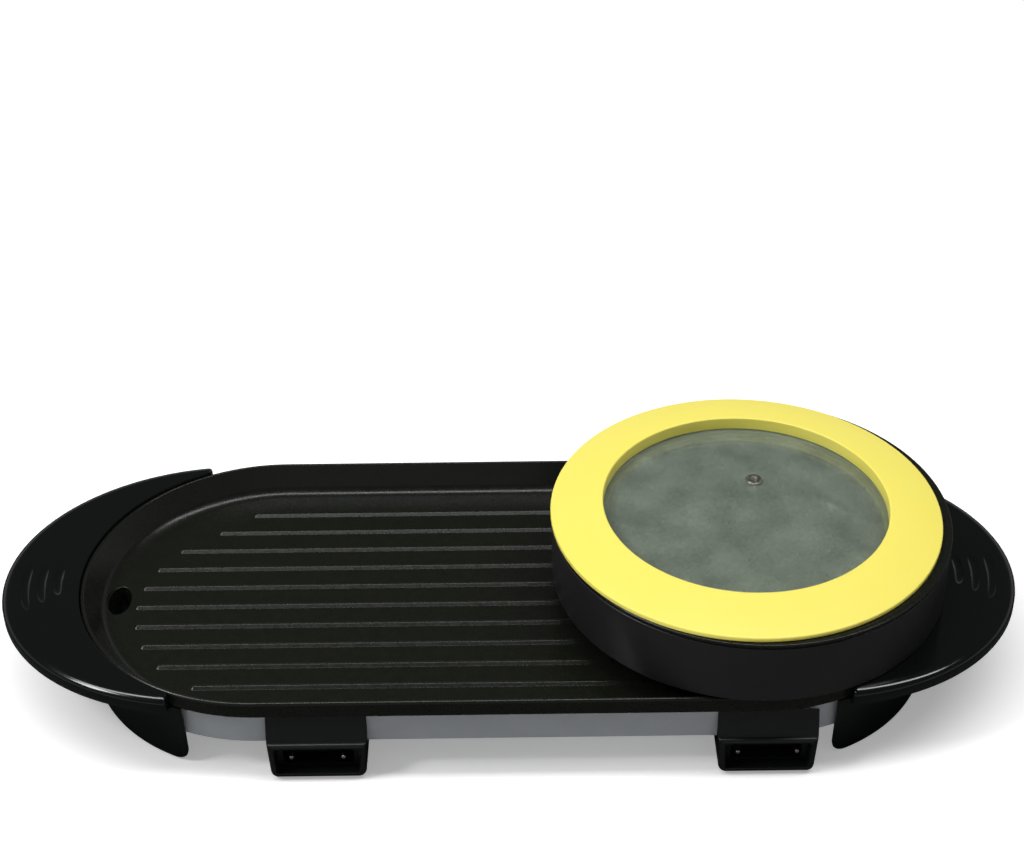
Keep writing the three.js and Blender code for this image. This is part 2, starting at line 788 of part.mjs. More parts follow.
// Shallow grooves for the fingertips, which follow the crescent's outer edge and run out at their ends.
function gripGroove(i) {
  const inset = gripInset + i * gripPitch;
  const halfLength = gripHalfLength - i * gripShortening;
  const points = Array.from({ length: gripSteps + 1 }, (_, step) => {
    const share = (2 * step) / gripSteps - 1;
    const y = gripY + i * gripStagger + share * halfLength;
    const across = Math.sqrt(1 - (y / (handleHalfDepth - inset)) ** 2);
    const lift = gripRadius - gripDepth + gripDepth * share ** 4;
    return stop(crescentX - (handleHalfLength - inset) * across, y, handleTop + lift);
  });
  return bar(points, gripRadius, smallSteps);
}

const footPlaces = [-1, 1].map((side) => {
  const angle = THREE.MathUtils.degToRad(footAngle);
  return [-footCircle * Math.cos(angle), side * footCircle * Math.sin(angle)];
});
const footSeat = footThickness + seatGap;
const screwSeat = footSeat + screwSeatDepth;

// The leg wall with the shelf that carries the pan's rim and the upright round it, the bosses that
// carry the base and an arch that lets the grease cup out.
function legs() {
  const cone = (inset, bottom, top) =>
    turned([
      [0, bottom],
      [legRadiusAt(bottom) - inset, bottom],
      [legRadiusAt(top) - inset, top],
      [0, top],
    ]);
  const upright = post(0, 0, innerWallRadius, shelfBottom, handleTop - handleEdgeRound, roundSteps);
  const panSpace = post(0, 0, panRadius + seatGap, shelfTop, handleTop, roundSteps);
  let wall = cut(join(cone(0, legLift, shelfTop), cut(upright, past(tipX))), panSpace);
  wall = cut(wall, cone(legWall, legLift - overrun, shelfTop + overrun));
  const halfArch = cupHalfWidth + cupFlange + Math.abs(drainY) + archClearance;
  const archTop = cupTop + archClearance;
  const arch = [
    [-halfArch, -overrun],
    [halfArch, -overrun],
    ...corner(halfArch - archRound, archTop - archRound, archRound, 0),
    ...corner(archRound - halfArch, archTop - archRound, archRound, 90),
  ];
  wall = cut(wall, alongX(arch, -everywhere, 0));
  const tipCorner = [
    ...corner(legTipX - legTipRound, legLift + legTipRound, legTipRound, -90, 90, archSteps),
    [legTipX + overrun, legLift + legTipRound],
    [legTipX + overrun, legLift - overrun],
    [legTipX - legTipRound, legLift - overrun],
  ];
  wall = cut(wall, alongY(tipCorner, -everywhere, everywhere));
  for (const [x, y] of footPlaces) {
    wall = join(wall, post(x, y, bossRadius, legLift, bossTop));
    wall = cut(
      wall,
      post(x, y, footRadius + boreGap, legLift - overrun, footSeat),
      post(x, y, screwHead + boreGap, legLift, screwSeat, screwSteps),
      post(x, y, screwShank + boreGap, legLift, bossTop + overrun, screwSteps),
    );
  }
  return wall;
}

function mouldedEnd() {
  const panSpace = post(0, 0, panRadius + seatGap, shelfTop, handleTop + overrun, roundSteps);
  let end = join(cut(crescent(), panSpace), legs());
  for (let i = 0; i < gripCount; i++) {
    end = cut(end, gripGroove(i));
  }
  return cut(end, past(legTipX));
}

function foot() {
  return turned([
    [0, 0],
    [footRadius - footBevel, 0],
    [footRadius, footBevel],
    [footRadius, footThickness],
    [0, footThickness],
  ], { steps: smallSteps });
}

// Screws stand head down on the height zero, with the shank upwards.
function screw(length) {
  return turned([
    [0, -screwHeadHeight],
    [screwHead - screwHeadBevel, -screwHeadHeight],
    [screwHead, screwHeadBevel - screwHeadHeight],
    [screwHead, 0],
    [screwShank, 0],
    [screwShank, length],
    [0, length],
  ], { steps: screwSteps });
}

function nut() {
  const bore = post(0, 0, screwShank + threadGap, -overrun, nutHeight + overrun, screwSteps);
  return cut(post(0, 0, nutRadius, 0, nutHeight, hexSides), bore);
}

// Base

function baseBand() {
  const top = bandBottom + bandHeight;
  const inside = prism(stadium(endX, bandRadius - bandSheet), bandBottom - overrun, top + overrun);
  return cut(prism(stadium(endX, bandRadius), bandBottom, top), inside);
}

const socketXs = [leftSocketX, rightSocketX];
const socketScrewX = (socketWidth + socketMouthWidth) / 4;
const socketScrewY = socketScrewInset - socketReach;
const socketScrewPlaces = socketXs.flatMap((x) => [x - socketScrewX, x + socketScrewX]);

// The slot where a heater comes up from its socket.
function riserSlot(x, bottom, top, back = riserY + heaterBend / 2) {
  const halfWidth = socketMouthWidth / 2;
  return box(x - halfWidth, x + halfWidth, riserY - heaterBend, back, bottom, top);
}

function basePlate() {
  const bottom = plateBottom - overrun;
  const top = plateTop + overrun;
  const hole = (x, y) => post(x, y, screwShank + boreGap, bottom, top, screwSteps);
  return cut(
    prism(stadium(endX, plateRadius), plateBottom, plateTop),
    ...socketXs.map((x) => riserSlot(x, bottom, top)),
    ...socketScrewPlaces.map((x) => hole(x, socketScrewY)),
    ...panBosses.map(([x, y]) => hole(x, y)),
    ...footPlaces.flatMap(([x, y]) => [hole(x - endX, y), hole(endX - x, y)]),
    prism(drainOutline(spoutWall + boreGap), bottom, top),
  );
}

// An inverted tray between the base plate and the heaters.
function heatReflector() {
  const bottom = plateTop + seatGap;
  const inside = stadium(endX, reflectorRadius - reflectorSheet);
  const low = plateTop - overrun;
  const high = reflectorTop + overrun;
  return cut(
    prism(stadium(endX, reflectorRadius), bottom, reflectorTop),
    prism(inside, low, reflectorTop - reflectorSheet),
    ...socketXs.map((x) => riserSlot(x, low, high)),
    ...panBosses.map(([x, y]) => post(x, y, panBossRadius + boreGap, low, high)),
    ...hotPlatePosts(hotPlatePostRadius + boreGap, low, high),
    prism(drainOutline(spoutWall + spoutCollar + boreGap), low, high),
  );
}

// The spout hangs below the drain slot on a collar that stands on the base plate.
function drainSpout() {
  const top = panUnderside - seatGap;
  const bottom = cupTop + seatGap;
  const collarBottom = plateTop + seatGap;
  return cut(
    join(
      prism(drainOutline(spoutWall), bottom, top),
      prism(drainOutline(spoutWall + spoutCollar), collarBottom, collarBottom + spoutWall),
    ),
    prism(drainOutline(0), bottom - overrun, top + overrun),
  );
}

// Heaters

// From a pin up to the level of the loops.
function riser(x) {
  return [
    stop(x, pinTailY + seatGap, pinHeight),
    stop(x, riserY, pinHeight, heaterBend),
    stop(x, riserY, heaterHeight, heaterBend),
  ];
}

function grillHeater() {
  const near = -grillLoopHalfDepth;
  const leftPin = leftSocketX - leftPinSpacing / 2;
  const rightPin = leftSocketX + leftPinSpacing / 2;
  const loop = [
    [leftPin, near],
    [grillLoopLeft, near],
    [grillLoopLeft, grillLoopHalfDepth],
    [grillLoopRight, grillLoopHalfDepth],
    [grillLoopRight, near],
    [rightPin, near],
  ];
  return bar(
    rounded([
      ...riser(leftPin),
      ...loop.map(([x, y]) => stop(x, y, heaterHeight, heaterCorner)),
      ...riser(rightPin).reverse(),
    ]),
    heaterRadius,
  );
}

// A loop round the hot plate's centre, open towards the socket, with both ends on its tangents.
function potHeater() {
  const opening = THREE.MathUtils.degToRad(potLoopOpening);
  const leadOut = (x) => {
    const y = (Math.sin(opening) * Math.abs(x - potX) - potLoopRadius) / Math.cos(opening);
    return stop(x, y, heaterHeight, heaterCorner);
  };
  const loop = Array.from({ length: potLoopSteps + 1 }, (_, i) => {
    const angle = -Math.PI / 2 - opening - ((2 * Math.PI - 2 * opening) * i) / potLoopSteps;
    const x = potX + potLoopRadius * Math.cos(angle);
    return stop(x, potLoopRadius * Math.sin(angle), heaterHeight);
  });
  const leftPin = rightSocketX - rightPinSpacing / 2;
  const rightPin = rightSocketX + rightPinSpacing / 2;
  const leftEnd = [...riser(leftPin), leadOut(leftPin)];
  const rightEnd = [...riser(rightPin), leadOut(rightPin)];
  return bar(rounded([...leftEnd, ...loop, ...rightEnd.reverse()]), heaterRadius);
}

// A bent strap that holds a heater up against the casting, drawn across a heater at the origin.
function heaterClip() {
  const inside = heaterRadius + clipPlay;
  const outside = inside + clipSheet;
  const top = heaterRadius;
  const tab = outside + clipTab;
  const outline = [
    [-tab, top],
    [-inside, top],
    ...corner(0, 0, inside, 180, 180, 2 * bendSteps),
    [inside, top],
    [tab, top],
    [tab, top - clipSheet],
    [outside, top - clipSheet],
    ...corner(0, 0, outside, 0, -180, 2 * bendSteps),
    [-outside, top - clipSheet],
    [-tab, top - clipSheet],
  ];
  return alongX(outline, -clipWidth / 2, clipWidth / 2);
}

// Power sockets, drawn about the middle of their width

// The housing of the socket at a place along X: open at the front, below the base plate, with a
// sloping crown that fits against the band.
function socketHousing(socketX) {
  const half = socketWidth / 2;
  const front = -socketReach;
  const bandOutside = bandRadius + seatGap;
  const lower = [
    ...corner(socketRound - half, socketBottom + socketRound, socketRound, 180),
    ...corner(half - socketRound, socketBottom + socketRound, socketRound, -90),
    [half, bossTop],
    [-half, bossTop],
  ];
  const crownAt = (z, y, halfFront, halfFoot) => ({
    z,
    outline: [
      [-halfFront, y],
      [halfFront, y],
      [halfFoot, -bandOutside],
      [halfFoot, socketRearY],
      [-halfFoot, socketRearY],
      [-halfFoot, -bandOutside],
    ],
  });
  const topHalf = half - socketCrownTaper;
  const crown = cut(
    loft([
      crownAt(bossTop, front, half, half + socketSideFlare),
      crownAt(socketFaceTop, front, half, half + socketSideFlare),
      crownAt(socketCrown, -bandOutside - socketCrownLand, topHalf, topHalf),
    ]),
    prism(shifted(stadium(endX, bandOutside), -socketX, 0), bossTop - overrun, socketCrown + overrun),
  );
  const rim = front + socketEdgeRound;
  const plan = [
    ...corner(half - socketEdgeRound, rim, socketEdgeRound, -90),
    [half + socketSideFlare, -bandOutside],
    [half + socketSideFlare, socketRearY],
    [-half - socketSideFlare, socketRearY],
    [-half - socketSideFlare, -bandOutside],
    ...corner(socketEdgeRound - half, rim, socketEdgeRound, 180),
  ];
  const recess = box(
    socketRecessWall - half,
    half - socketRecessWall,
    front - overrun,
    front + socketRecess,
    socketBottom + socketRecessWall,
    socketFaceTop - socketRecessRoof,
  );
  const mouth = [
    [-socketMouthWidth / 2, socketMouthBottom],
    [socketMouthWidth / 2, socketMouthBottom],
    [socketMouthWidth / 2, socketMouthTop],
    [-socketMouthWidth / 2, socketMouthTop],
  ];
  const screwHoles = [-socketScrewX, socketScrewX].map((x) =>
    post(x, socketScrewY, screwShank + threadGap, plateTop - socketScrewLength, plateTop, screwSteps),
  );
  return cut(
    join(alongY(lower, front, socketRearY), crown).intersect(prism(plan, 0, socketCrown + overrun)),
    recess,
    alongY(mouth, front - overrun, socketRearY - socketRearWall),
    riserSlot(0, socketMouthBottom, bossTop + overrun, socketRearY - socketRearWall),
    ...screwHoles,
  );
}

function terminalBlock(pinSpacing) {
  const halfWidth = socketMouthWidth / 2 - seatGap;
  const front = blockInset - socketReach;
  const back = front + blockThickness;
  const bottom = socketMouthBottom + seatGap;
  const block = box(-halfWidth, halfWidth, front, back, bottom, socketMouthTop - seatGap);
  const bore = (x, radius) => {
    const outline = ellipse(radius + boreGap, radius + boreGap, smallSteps);
    return alongY(shifted(outline, x, pinHeight), front - overrun, back + overrun);
  };
  const pinBores = [-1, 1].map((side) => bore((side * pinSpacing) / 2, pinRadius));
  return cut(block, ...pinBores, bore(0, probeRadius));
}

// Pins and sleeves run from height zero upwards and are laid down when they are placed.
function terminalPin() {
  return turned([
    [0, 0],
    [pinRadius, 0],
    [pinRadius, pinLength - pinTipRound],
    [pinRadius - pinTipRound, pinLength],
    [0, pinLength],
  ], { steps: screwSteps });
}

function probeSleeve() {
  return turnedRing([
    [probeBore, 0],
    [probeRadius, 0],
    [probeRadius, probeLength],
    [probeBore, probeLength],
  ], { steps: screwSteps });
}

// Grease cup

const cupFront = -(endX + legRadiusAt(cupTop));

function roundedRectangle(x0, x1, halfY, radius) {
  return [
    ...corner(x1 - radius, radius - halfY, radius, -90),
    ...corner(x1 - radius, halfY - radius, radius, 0),
    ...corner(x0 + radius, halfY - radius, radius, 90),
    ...corner(x0 + radius, radius - halfY, radius, 180),
  ];
}

// A shallow cup with edges that hang in the runners and a tab to pull, drawn about the drain's Y.
function greaseCup() {
  const back = cupFront + cupLength;
  const flangeBottom = cupTop - cupFlangeThickness;
  const outline = (inset, radius) =>
    roundedRectangle(cupFront + inset, back - inset, cupHalfWidth - inset, radius);
  const outside = loft([
    { z: cupBottom, outline: outline(cupWall, cupCorner - cupWall) },
    { z: cupBottom + cupWall, outline: outline(0, cupCorner) },
    { z: cupTop, outline: outline(0, cupCorner) },
  ]);
  const inside = prism(outline(cupWall, cupCorner - cupWall), cupBottom + cupWall, cupTop + overrun);
  const reach = cupHalfWidth + cupFlange;
  const edges = box(cupFront + cupCorner, back - cupCorner, -reach, reach, flangeBottom, cupTop);
  const tabEnd = cupFront - cupTab;
  const tab = box(tabEnd, cupFront + cupWall, -cupTabHalfWidth, cupTabHalfWidth, flangeBottom, cupTop);
  return cut(join(outside, edges, tab), inside);
}

// An angled strip under the base plate that an edge of the cup slides on.
function cupRunner(side) {
  const lipTop = cupTop - cupFlangeThickness - seatGap;
  const lipBottom = lipTop - runnerSheet;
  const webInside = cupHalfWidth + cupFlange + runnerPlay;
  const webOutside = webInside + runnerSheet;
  const outline = [
    [cupHalfWidth + runnerPlay, lipBottom],
    [webOutside, lipBottom],
    [webOutside, bossTop],
    [webInside, bossTop],
    [webInside, lipTop],
    [cupHalfWidth + runnerPlay, lipTop],
  ].map(([y, z]) => [side * y, z]);
  const start = cupFront + cupTab;
  return alongX(outline, start, start + runnerLength);
}

// Assembly

const group = new THREE.Group();

function add(parent, name, body, finish, { position = [0, 0, 0], rotation = [0, 0, 0] } = {}) {
  const mesh = new THREE.Mesh(geometryOf(body), new THREE.MeshStandardMaterial(finishes[finish]));
  mesh.name = name;
  mesh.position.set(...position);
  mesh.rotation.set(...rotation);
  parent.add(mesh);
  return mesh;
}

function subgroup(x, y = 0, z = 0) {
  const made = new THREE.Group();
  made.position.set(x, y, z);
  group.add(made);
  return made;
}

// Pan, base and heaters
add(group, "grill_pan", grillPan(), "nonstick");
add(group, "hot_plate", hotPlate(), "aluminium");
add(group, "base_band", baseBand(), "sheetSteel");
add(group, "base_plate", basePlate(), "sheetSteel");
add(group, "heat_reflector", heatReflector(), "aluminium");
add(group, "drain_spout", drainSpout(), "nonstick");
add(group, "grill_heater", grillHeater(), "heaterSteel");
add(group, "pot_heater", potHeater(), "heaterSteel");

const clip = heaterClip();
[-1, 1].forEach((side, row) => {
  clipX.forEach((x, column) => {
    const position = [x, side * grillLoopHalfDepth, heaterHeight];
    add(group, `grill_heater_clip_${2 * row + column + 1}`, clip, "sheetSteel", { position });
  });
  const position = [potX + side * potLoopRadius, 0, heaterHeight];
  const rotation = [0, 0, Math.PI / 2];
  add(group, `pot_heater_clip_${row + 1}`, clip, "sheetSteel", { position, rotation });
});

const panScrew = screw(panScrewLength - seatGap);
panBosses.forEach(([x, y], i) => {
  add(group, `pan_screw_${i + 1}`, panScrew, "nickel", { position: [x, y, plateBottom - seatGap] });
});

// Pot and lid
add(group, "pot_inner", potInner(), "nonstick");
add(group, "pot_shell", potShell(), "potPaint");
const lid = subgroup(lidX, 0, lidSeat);
add(lid, "lid_ring", lidRing(), "yellowPlastic");
add(lid, "lid_glass", lidGlass(), "glass");
add(lid, "lid_gasket", lidGasket(), "silicone");
add(lid, "lid_retainer", lidRetainer(), "blackPlastic");
add(lid, "steam_vent", steamVent(), "nickel");

// Moulded ends with their feet, screws and nuts; the right end mirrors the left
const end = mouldedEnd();
const rubberFoot = foot();
const endNut = nut();
const endScrew = screw(plateTop + seatGap + nutHeight - screwSeat + seatGap);
for (const [side, name] of [[-1, "left"], [1, "right"]]) {
  const place = subgroup(side * endX);
  place.scale.x = -side;
  add(place, `${name}_handle`, end, "glossPlastic");
  footPlaces.forEach(([x, y], i) => {
    const row = ["front", "back"][i];
    add(place, `${name}_${row}_foot`, rubberFoot, "rubber", { position: [x, y, 0] });
    add(place, `${name}_${row}_screw`, endScrew, "nickel", { position: [x, y, screwSeat - seatGap] });
    add(place, `${name}_${row}_nut`, endNut, "nickel", { position: [x, y, plateTop + seatGap] });
  });
}

// Sockets
const pin = terminalPin();
const sleeve = probeSleeve();
const socketScrew = screw(socketScrewLength - seatGap);
const sockets = [["left", leftSocketX, leftPinSpacing], ["right", rightSocketX, rightPinSpacing]];
for (const [name, x, pinSpacing] of sockets) {
  const place = subgroup(x);
  const lying = [Math.PI / 2, 0, 0];
  add(place, `${name}_socket_housing`, socketHousing(x), "blackPlastic");
  add(place, `${name}_terminal_block`, terminalBlock(pinSpacing), "blackPlastic");
  const sleeveY = blockInset + blockThickness + probeTail - socketReach;
  const sleevePlace = { position: [0, sleeveY, pinHeight], rotation: lying };
  add(place, `${name}_probe_sleeve`, sleeve, "nickel", sleevePlace);
  [-1, 1].forEach((side, i) => {
    const pinPlace = { position: [(side * pinSpacing) / 2, pinTailY, pinHeight], rotation: lying };
    add(place, `${name}_socket_pin_${i + 1}`, pin, "nickel", pinPlace);
    const position = [side * socketScrewX, socketScrewY, plateTop + seatGap];
    const screwPlace = { position, rotation: [Math.PI, 0, 0] };
    add(place, `${name}_socket_screw_${i + 1}`, socketScrew, "nickel", screwPlace);
  });
}

// Grease cup and its runners
const cupPlace = subgroup(0, drainY);
add(cupPlace, "grease_cup", greaseCup(), "sheetSteel");
add(cupPlace, "front_cup_runner", cupRunner(-1), "sheetSteel");
add(cupPlace, "back_cup_runner", cupRunner(1), "sheetSteel");

export default group;
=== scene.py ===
"""Looks of a hot pot and grill in one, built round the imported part.

The shapes are worked out in millimetres and made in metres. X runs along the pan, Y away from the
sockets and Z up. The origin is on the table below the middle of the pan.
"""

import math

import bmesh
import bpy
import numpy as np
from mathutils import Matrix, Vector
from mathutils.geometry import tessellate_polygon


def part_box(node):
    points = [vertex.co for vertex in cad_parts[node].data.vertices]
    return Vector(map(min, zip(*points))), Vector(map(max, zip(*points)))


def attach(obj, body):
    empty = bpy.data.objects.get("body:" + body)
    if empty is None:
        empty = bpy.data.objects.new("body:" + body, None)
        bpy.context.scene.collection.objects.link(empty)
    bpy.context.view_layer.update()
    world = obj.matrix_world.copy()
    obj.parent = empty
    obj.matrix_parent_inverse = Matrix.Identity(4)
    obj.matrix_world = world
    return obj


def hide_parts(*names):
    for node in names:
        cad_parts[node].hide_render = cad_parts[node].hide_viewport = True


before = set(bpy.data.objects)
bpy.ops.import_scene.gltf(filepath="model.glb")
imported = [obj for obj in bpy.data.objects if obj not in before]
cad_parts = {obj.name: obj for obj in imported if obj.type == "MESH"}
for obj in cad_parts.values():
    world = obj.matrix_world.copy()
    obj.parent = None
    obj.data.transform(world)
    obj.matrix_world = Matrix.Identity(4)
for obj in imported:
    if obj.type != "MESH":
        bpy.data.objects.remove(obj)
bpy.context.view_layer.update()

MM = 0.001


def box_of(node):
    """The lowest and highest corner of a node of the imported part, in millimetres."""
    return [np.array(corner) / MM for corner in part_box(node)]


def nodes_with(word):
    """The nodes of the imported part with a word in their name."""
    return sorted(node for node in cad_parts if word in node)


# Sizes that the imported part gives
pan_low, pan_high = box_of("grill_pan")
PAN_RADIUS = pan_high[1]
RIM_TOP = pan_high[2]
END = pan_high[0] - PAN_RADIUS  # from the middle to the centre of a round end
handle_low, handle_high = box_of("left_handle")
HANDLE_TOP = handle_high[2]
LEG_BOTTOM = handle_low[2]
LEG_TIP = END + handle_high[0]  # plane where the legs end, from the centre of the round end
ring_low, ring_high = box_of("lid_ring")
LID_X = (ring_low[0] + ring_high[0]) / 2
LID_RADIUS = (ring_high[0] - ring_low[0]) / 2
shell_low, shell_high = box_of("pot_shell")
POT_X = (shell_low[0] + shell_high[0]) / 2
POT_RADIUS = (shell_high[0] - shell_low[0]) / 2
pot_low, pot_high = box_of("pot_inner")
POT_BOTTOM, POT_TOP = pot_low[2], pot_high[2]
band_low, band_high = box_of("base_band")
BAND_RADIUS = band_high[1]
PLATE_UNDER = box_of("base_plate")[0][2]

# Sizes of the casting. Distances are from the middle line of the straight part.
FLOOR = RIM_TOP - 18.8
CASTING_WALL = 2.4
UNDERSIDE = FLOOR - CASTING_WALL
COLLAR_RISE = 1.4  # by which the collar round the hot plate rises above the floor
FLOOR_EDGE = 106.5  # where the level floor ends
FLOOR_INSET = 3.0  # by which an end of the floor stays behind the rim's
WALL_FOOT, WALL_FILLET = 112.5, 8.0  # above
BACK_FOOT, BACK_FILLET = 114.06, 6.4  # below
RIM_WIDTH, RIM_SKIRT = 2.6, 11.0
SKIRT_CEILING = 5.44  # below the rim's top, within the skirt
BOSS_X, BOSS_Y = 60, 88
BOSS_RADIUS, SCREW_BORE = 5, 1.9
SINK = 0.4  # by which a boss stands in what carries it
RIB_COUNT, RIB_PITCH = 10, 19.4
RIB_HEIGHT = 1.45
RIB_FOOT = 2.6  # half width at the floor
RIB_CREST = 0.4  # half width of the level crest, before it is rounded
RIB_ROOT = 0.8  # depth of the rib's root in the floor
RIB_ARC = (-158.0, -9.7, 88.2, 20.0)  # left ends: centre X and Y, radius and least reach
RIB_POT = 112.5  # right ends: radius about the pot's middle
DRAIN = (-257.3, -2.5, 7.5, 13.8)  # centre X and Y, half axes along X and Y
DRAIN_EDGE = 0.7  # width of its rounded edge

# Sizes of the hot plate
PLATE_RADIUS = 90.0
PLATE_RISE = 3.0  # above the floor
FLANGE_LOW, FLANGE_HIGH = 36.1, 38.5
FLANGE_WIDTH = 6
FLANGE_NOTCH = 16  # half the opening for the heater's ends, in degrees
POST_CIRCLE, POST_RADIUS = 84, 4

# Sizes of the pot and the lid
POT_WALL = 2.8
POT_FLOOR, POT_MOUTH = 103.5, 118.5  # radii within
POT_FOOT, POT_NECK = 106.5, 121.3  # radii without
SHELL_WALL = 2.4
SHELL_FOOT = (120.5, 122.7)  # radii of the part that dips into the pan
SHELL_CLEARANCE = 0.3  # above the handles
SEAT = ring_low[2] + 6  # height of the lid's seat on the pot's rim
WINDOW = 91.3
RING_WALL = 2.4
RING_EDGE, RING_CREST = 3, 10.5  # heights of the outer edge and of the edge at the window
LID_SKIRT = (110.5, -6)  # radius and lower end
RETAINER_OVERLAP = 2.5
GLASS_RADIUS, GLASS_TOP, GLASS_RISE = 97, 1.2, 6
GLASS_WALL, GLASS_CHAMFER = 4, 0.4

# Sizes of a moulded end, about the centre of the pan's round end
TIP = LEG_TIP - 8  # plane where the crescent ends
ELLIPSE_X = -33.5
ELLIPSE_A, ELLIPSE_B = 141.0, 122.0
INNER = 123.8
UPRIGHT = 127.2
HANDLE_BOTTOM = HANDLE_TOP - 10.5
POCKET_TOP = HANDLE_TOP - 3.4
MOULDED_WALL = 3.4
POCKET_RADIUS = 124.5
SHELF = (46.2, 48.7)  # lower and upper side
SHELF_REACH = INNER - 1.6
EDGE = (7.0, 4.5)  # half axes, across and up, of the crescent's rounded outer edge
CRESCENT_TIP, LEG_EDGE = 1.6, 0.6  # radii of the rounded tips
GROOVES = ((15, -11.5, 23.5), (25.5, -8.25, 19.25), (36, -5, 15))  # inset, Y and half length
GROOVE_RADIUS, GROOVE_DEPTH = 5, 1.1
LEG_MIDDLE = 121.5  # radius of the leg wall's middle
LEG_FOOT, LEG_TAPER = 120, 3.3  # outer radius at the bottom, and what it gains up to the shelf
LEG_WALL = 3
LEG_CORNER = 10.0
ARCH = (38.0, 26.2, 6.0)  # half width, height and corner radius
FEET = [(-78.1, -78.1), (-78.1, 78.1)]
STIFFENERS = (-48, -24, 0, 24, 48)  # degrees from the end's axis

# Sizes of the heaters
HEATER = 35.2  # height of their level part
PIN = 17.5  # height of their ends and of the sockets' pins
HEATER_RADIUS = 3.3
HEATER_BEND, LOOP_BEND = 8, 14
RISER_Y, HEATER_START = -85.2, -104.2
GRILL_LOOP = (-232, 0, 62)  # X of both ends and half the width
POT_LOOP, LOOP_GAP = 58, math.radians(34)

# Sizes of the sockets
MOUTH = (26.0, 5.5, 26.0, 8.0)  # half width, bottom, top and depth of the recess
INNER_MOUTH = (22.0, 7.2, 22.2)  # half width, bottom and top of the well behind it
WELL_WALL = 2.5
MOUTH_EDGE = 0.5
LEDGE = (29.0, 3.2)  # height and depth
LEDGE_ROUND = 2.4
SOCKET_ROUND, CROWN_ROUND = 4.0, 0.9
SOCKET_HALF = 29.6  # half width at the bottom
SOCKET_DRAFT = (1.4, 24.0)  # what the half width gains upwards, and over what height
MOUTH_ROUND, INNER_ROUND = 1.2, 0.8
SLEEVE_BORE, SLEEVE_RADIUS = 2.2, 3.4

ROUND = 192  # steps of a full turn
SHARP = 32  # degrees past which an edge stays sharp


# Surfaces


def joined(*shapes):
    """Several shapes, each of points and faces, as one."""
    points, faces, count = [], [], 0
    for own, polygons in shapes:
        points.append(own)
        faces.extend([index + count for index in polygon] for polygon in polygons)
        count += len(own)
    return np.concatenate(points), faces


def grid(points, close_rows=False, close_columns=False, caps=False):
    """A shape from rows of points: neighbours in two rows and two columns make a face.

    Closing the rows joins the last row to the first, and closing the columns does the same along
    them. Caps close the first and the last column with one polygon each.
    """
    rows, columns = points.shape[:2]
    index = np.arange(rows * columns).reshape(rows, columns)
    if close_rows:
        index = np.vstack([index, index[:1]])
    if close_columns:
        index = np.hstack([index, index[:, :1]])
    quads = np.stack([index[:-1, :-1], index[:-1, 1:], index[1:, 1:], index[1:, :-1]], -1)
    faces = quads.reshape(-1, 4).tolist()
    if caps:
        faces += [index[:rows, 0].tolist(), index[:rows, -1].tolist()]
    return points.reshape(-1, 3), faces


def corner_arc(before, here, after, radius, steps):
    """The points that round a corner, or the corner itself where it is sharp or hardly a corner.

    The arc touches both sides: it starts at radius / tan(half the corner's angle) from the corner
    and turns about a centre at radius / sin(half the angle) along the corner's middle line.
    """
    here = np.array(here, float)
    if radius == 0:
        return [here]
    back, onward = (way / np.linalg.norm(way) for way in (before - here, after - here))
    half = math.acos(np.clip(back @ onward, -1, 1)) / 2
    if half > math.pi / 2 - 1e-3:
        return [here]
    centre = here + (back + onward) / np.linalg.norm(back + onward) * radius / math.sin(half)
    start = here + back * radius / math.tan(half) - centre
    end = here + onward * radius / math.tan(half) - centre
    sweep = math.pi - 2 * half
    share = np.linspace(0, 1, steps + 1)[:, None]
    arc = np.sin((1 - share) * sweep) * start + np.sin(share * sweep) * end
    return list(centre + arc / math.sin(sweep))


def filleted(*corners, steps=6):
    """A closed profile through corners (across, up, radius), each rounded by an arc."""
    points = []
    for i, (*here, radius) in enumerate(corners):
        after = corners[(i + 1) % len(corners)]
        points += corner_arc(corners[i - 1][:2], here, after[:2], radius, steps)
    return np.array(points)


def oblong(inner, outer, low, high, inner_round=0.0, outer_round=0.0, steps=6):
    """A rectangular profile between two distances and two heights, with rounded corners."""
    corners = [(inner, low, inner_round), (outer, low, outer_round)]
    corners += [(outer, high, outer_round), (inner, high, inner_round)]
    return filleted(*corners, steps=steps)


def bent(route, steps=10):
    """A route through points (x, y, z, bend) with an arc of that radius at each of them."""
    points = [np.array(route[0][:3], float)]
    for before, here, after in zip(route, route[1:], route[2:]):
        points += corner_arc(before[:3], here[:3], after[:3], here[3], steps)
    return np.array(points + [np.array(route[-1][:3], float)])


def circle(x=0.0, y=0.0, steps=ROUND, start=0.0, turn=2 * math.pi, closed=True):
    """Stations round a point: base, outward direction and slide of each."""
    angle = start + turn * np.arange(steps + (not closed)) / steps
    outward = np.stack([np.cos(angle), np.sin(angle)], -1)
    return np.full_like(outward, (x, y)), outward, np.zeros_like(outward)


def oval(half_straight, steps=ROUND, x=0.0, y=0.0):
    """Stations of two half circles joined by straight sides of a length of twice half_straight,
    with one more station in the middle of each side.

    The slide is the direction in which the half circles move apart, and none at the middles.
    """
    half_turn = np.append(np.linspace(-math.pi / 2, math.pi / 2, steps // 2 + 1), math.pi / 2)
    angle = np.concatenate([half_turn, half_turn + math.pi])
    outward = np.stack([np.cos(angle), np.sin(angle)], -1)
    slide = np.zeros_like(outward)
    slide[: len(half_turn) - 1, 0] = 1
    slide[len(half_turn) : -1, 0] = -1
    return half_straight * slide + (x, y), outward, slide


def ellipse(x, y, half_x, half_y, steps=64):
    """Stations on an ellipse: its own points, and the direction square to it at each."""
    angle = 2 * math.pi * np.arange(steps) / steps
    base = np.stack([x + half_x * np.cos(angle), y + half_y * np.sin(angle)], -1)
    outward = np.stack([half_y * np.cos(angle), half_x * np.sin(angle)], -1)
    outward /= np.linalg.norm(outward, axis=1, keepdims=True)
    return base, outward, np.zeros_like(outward)


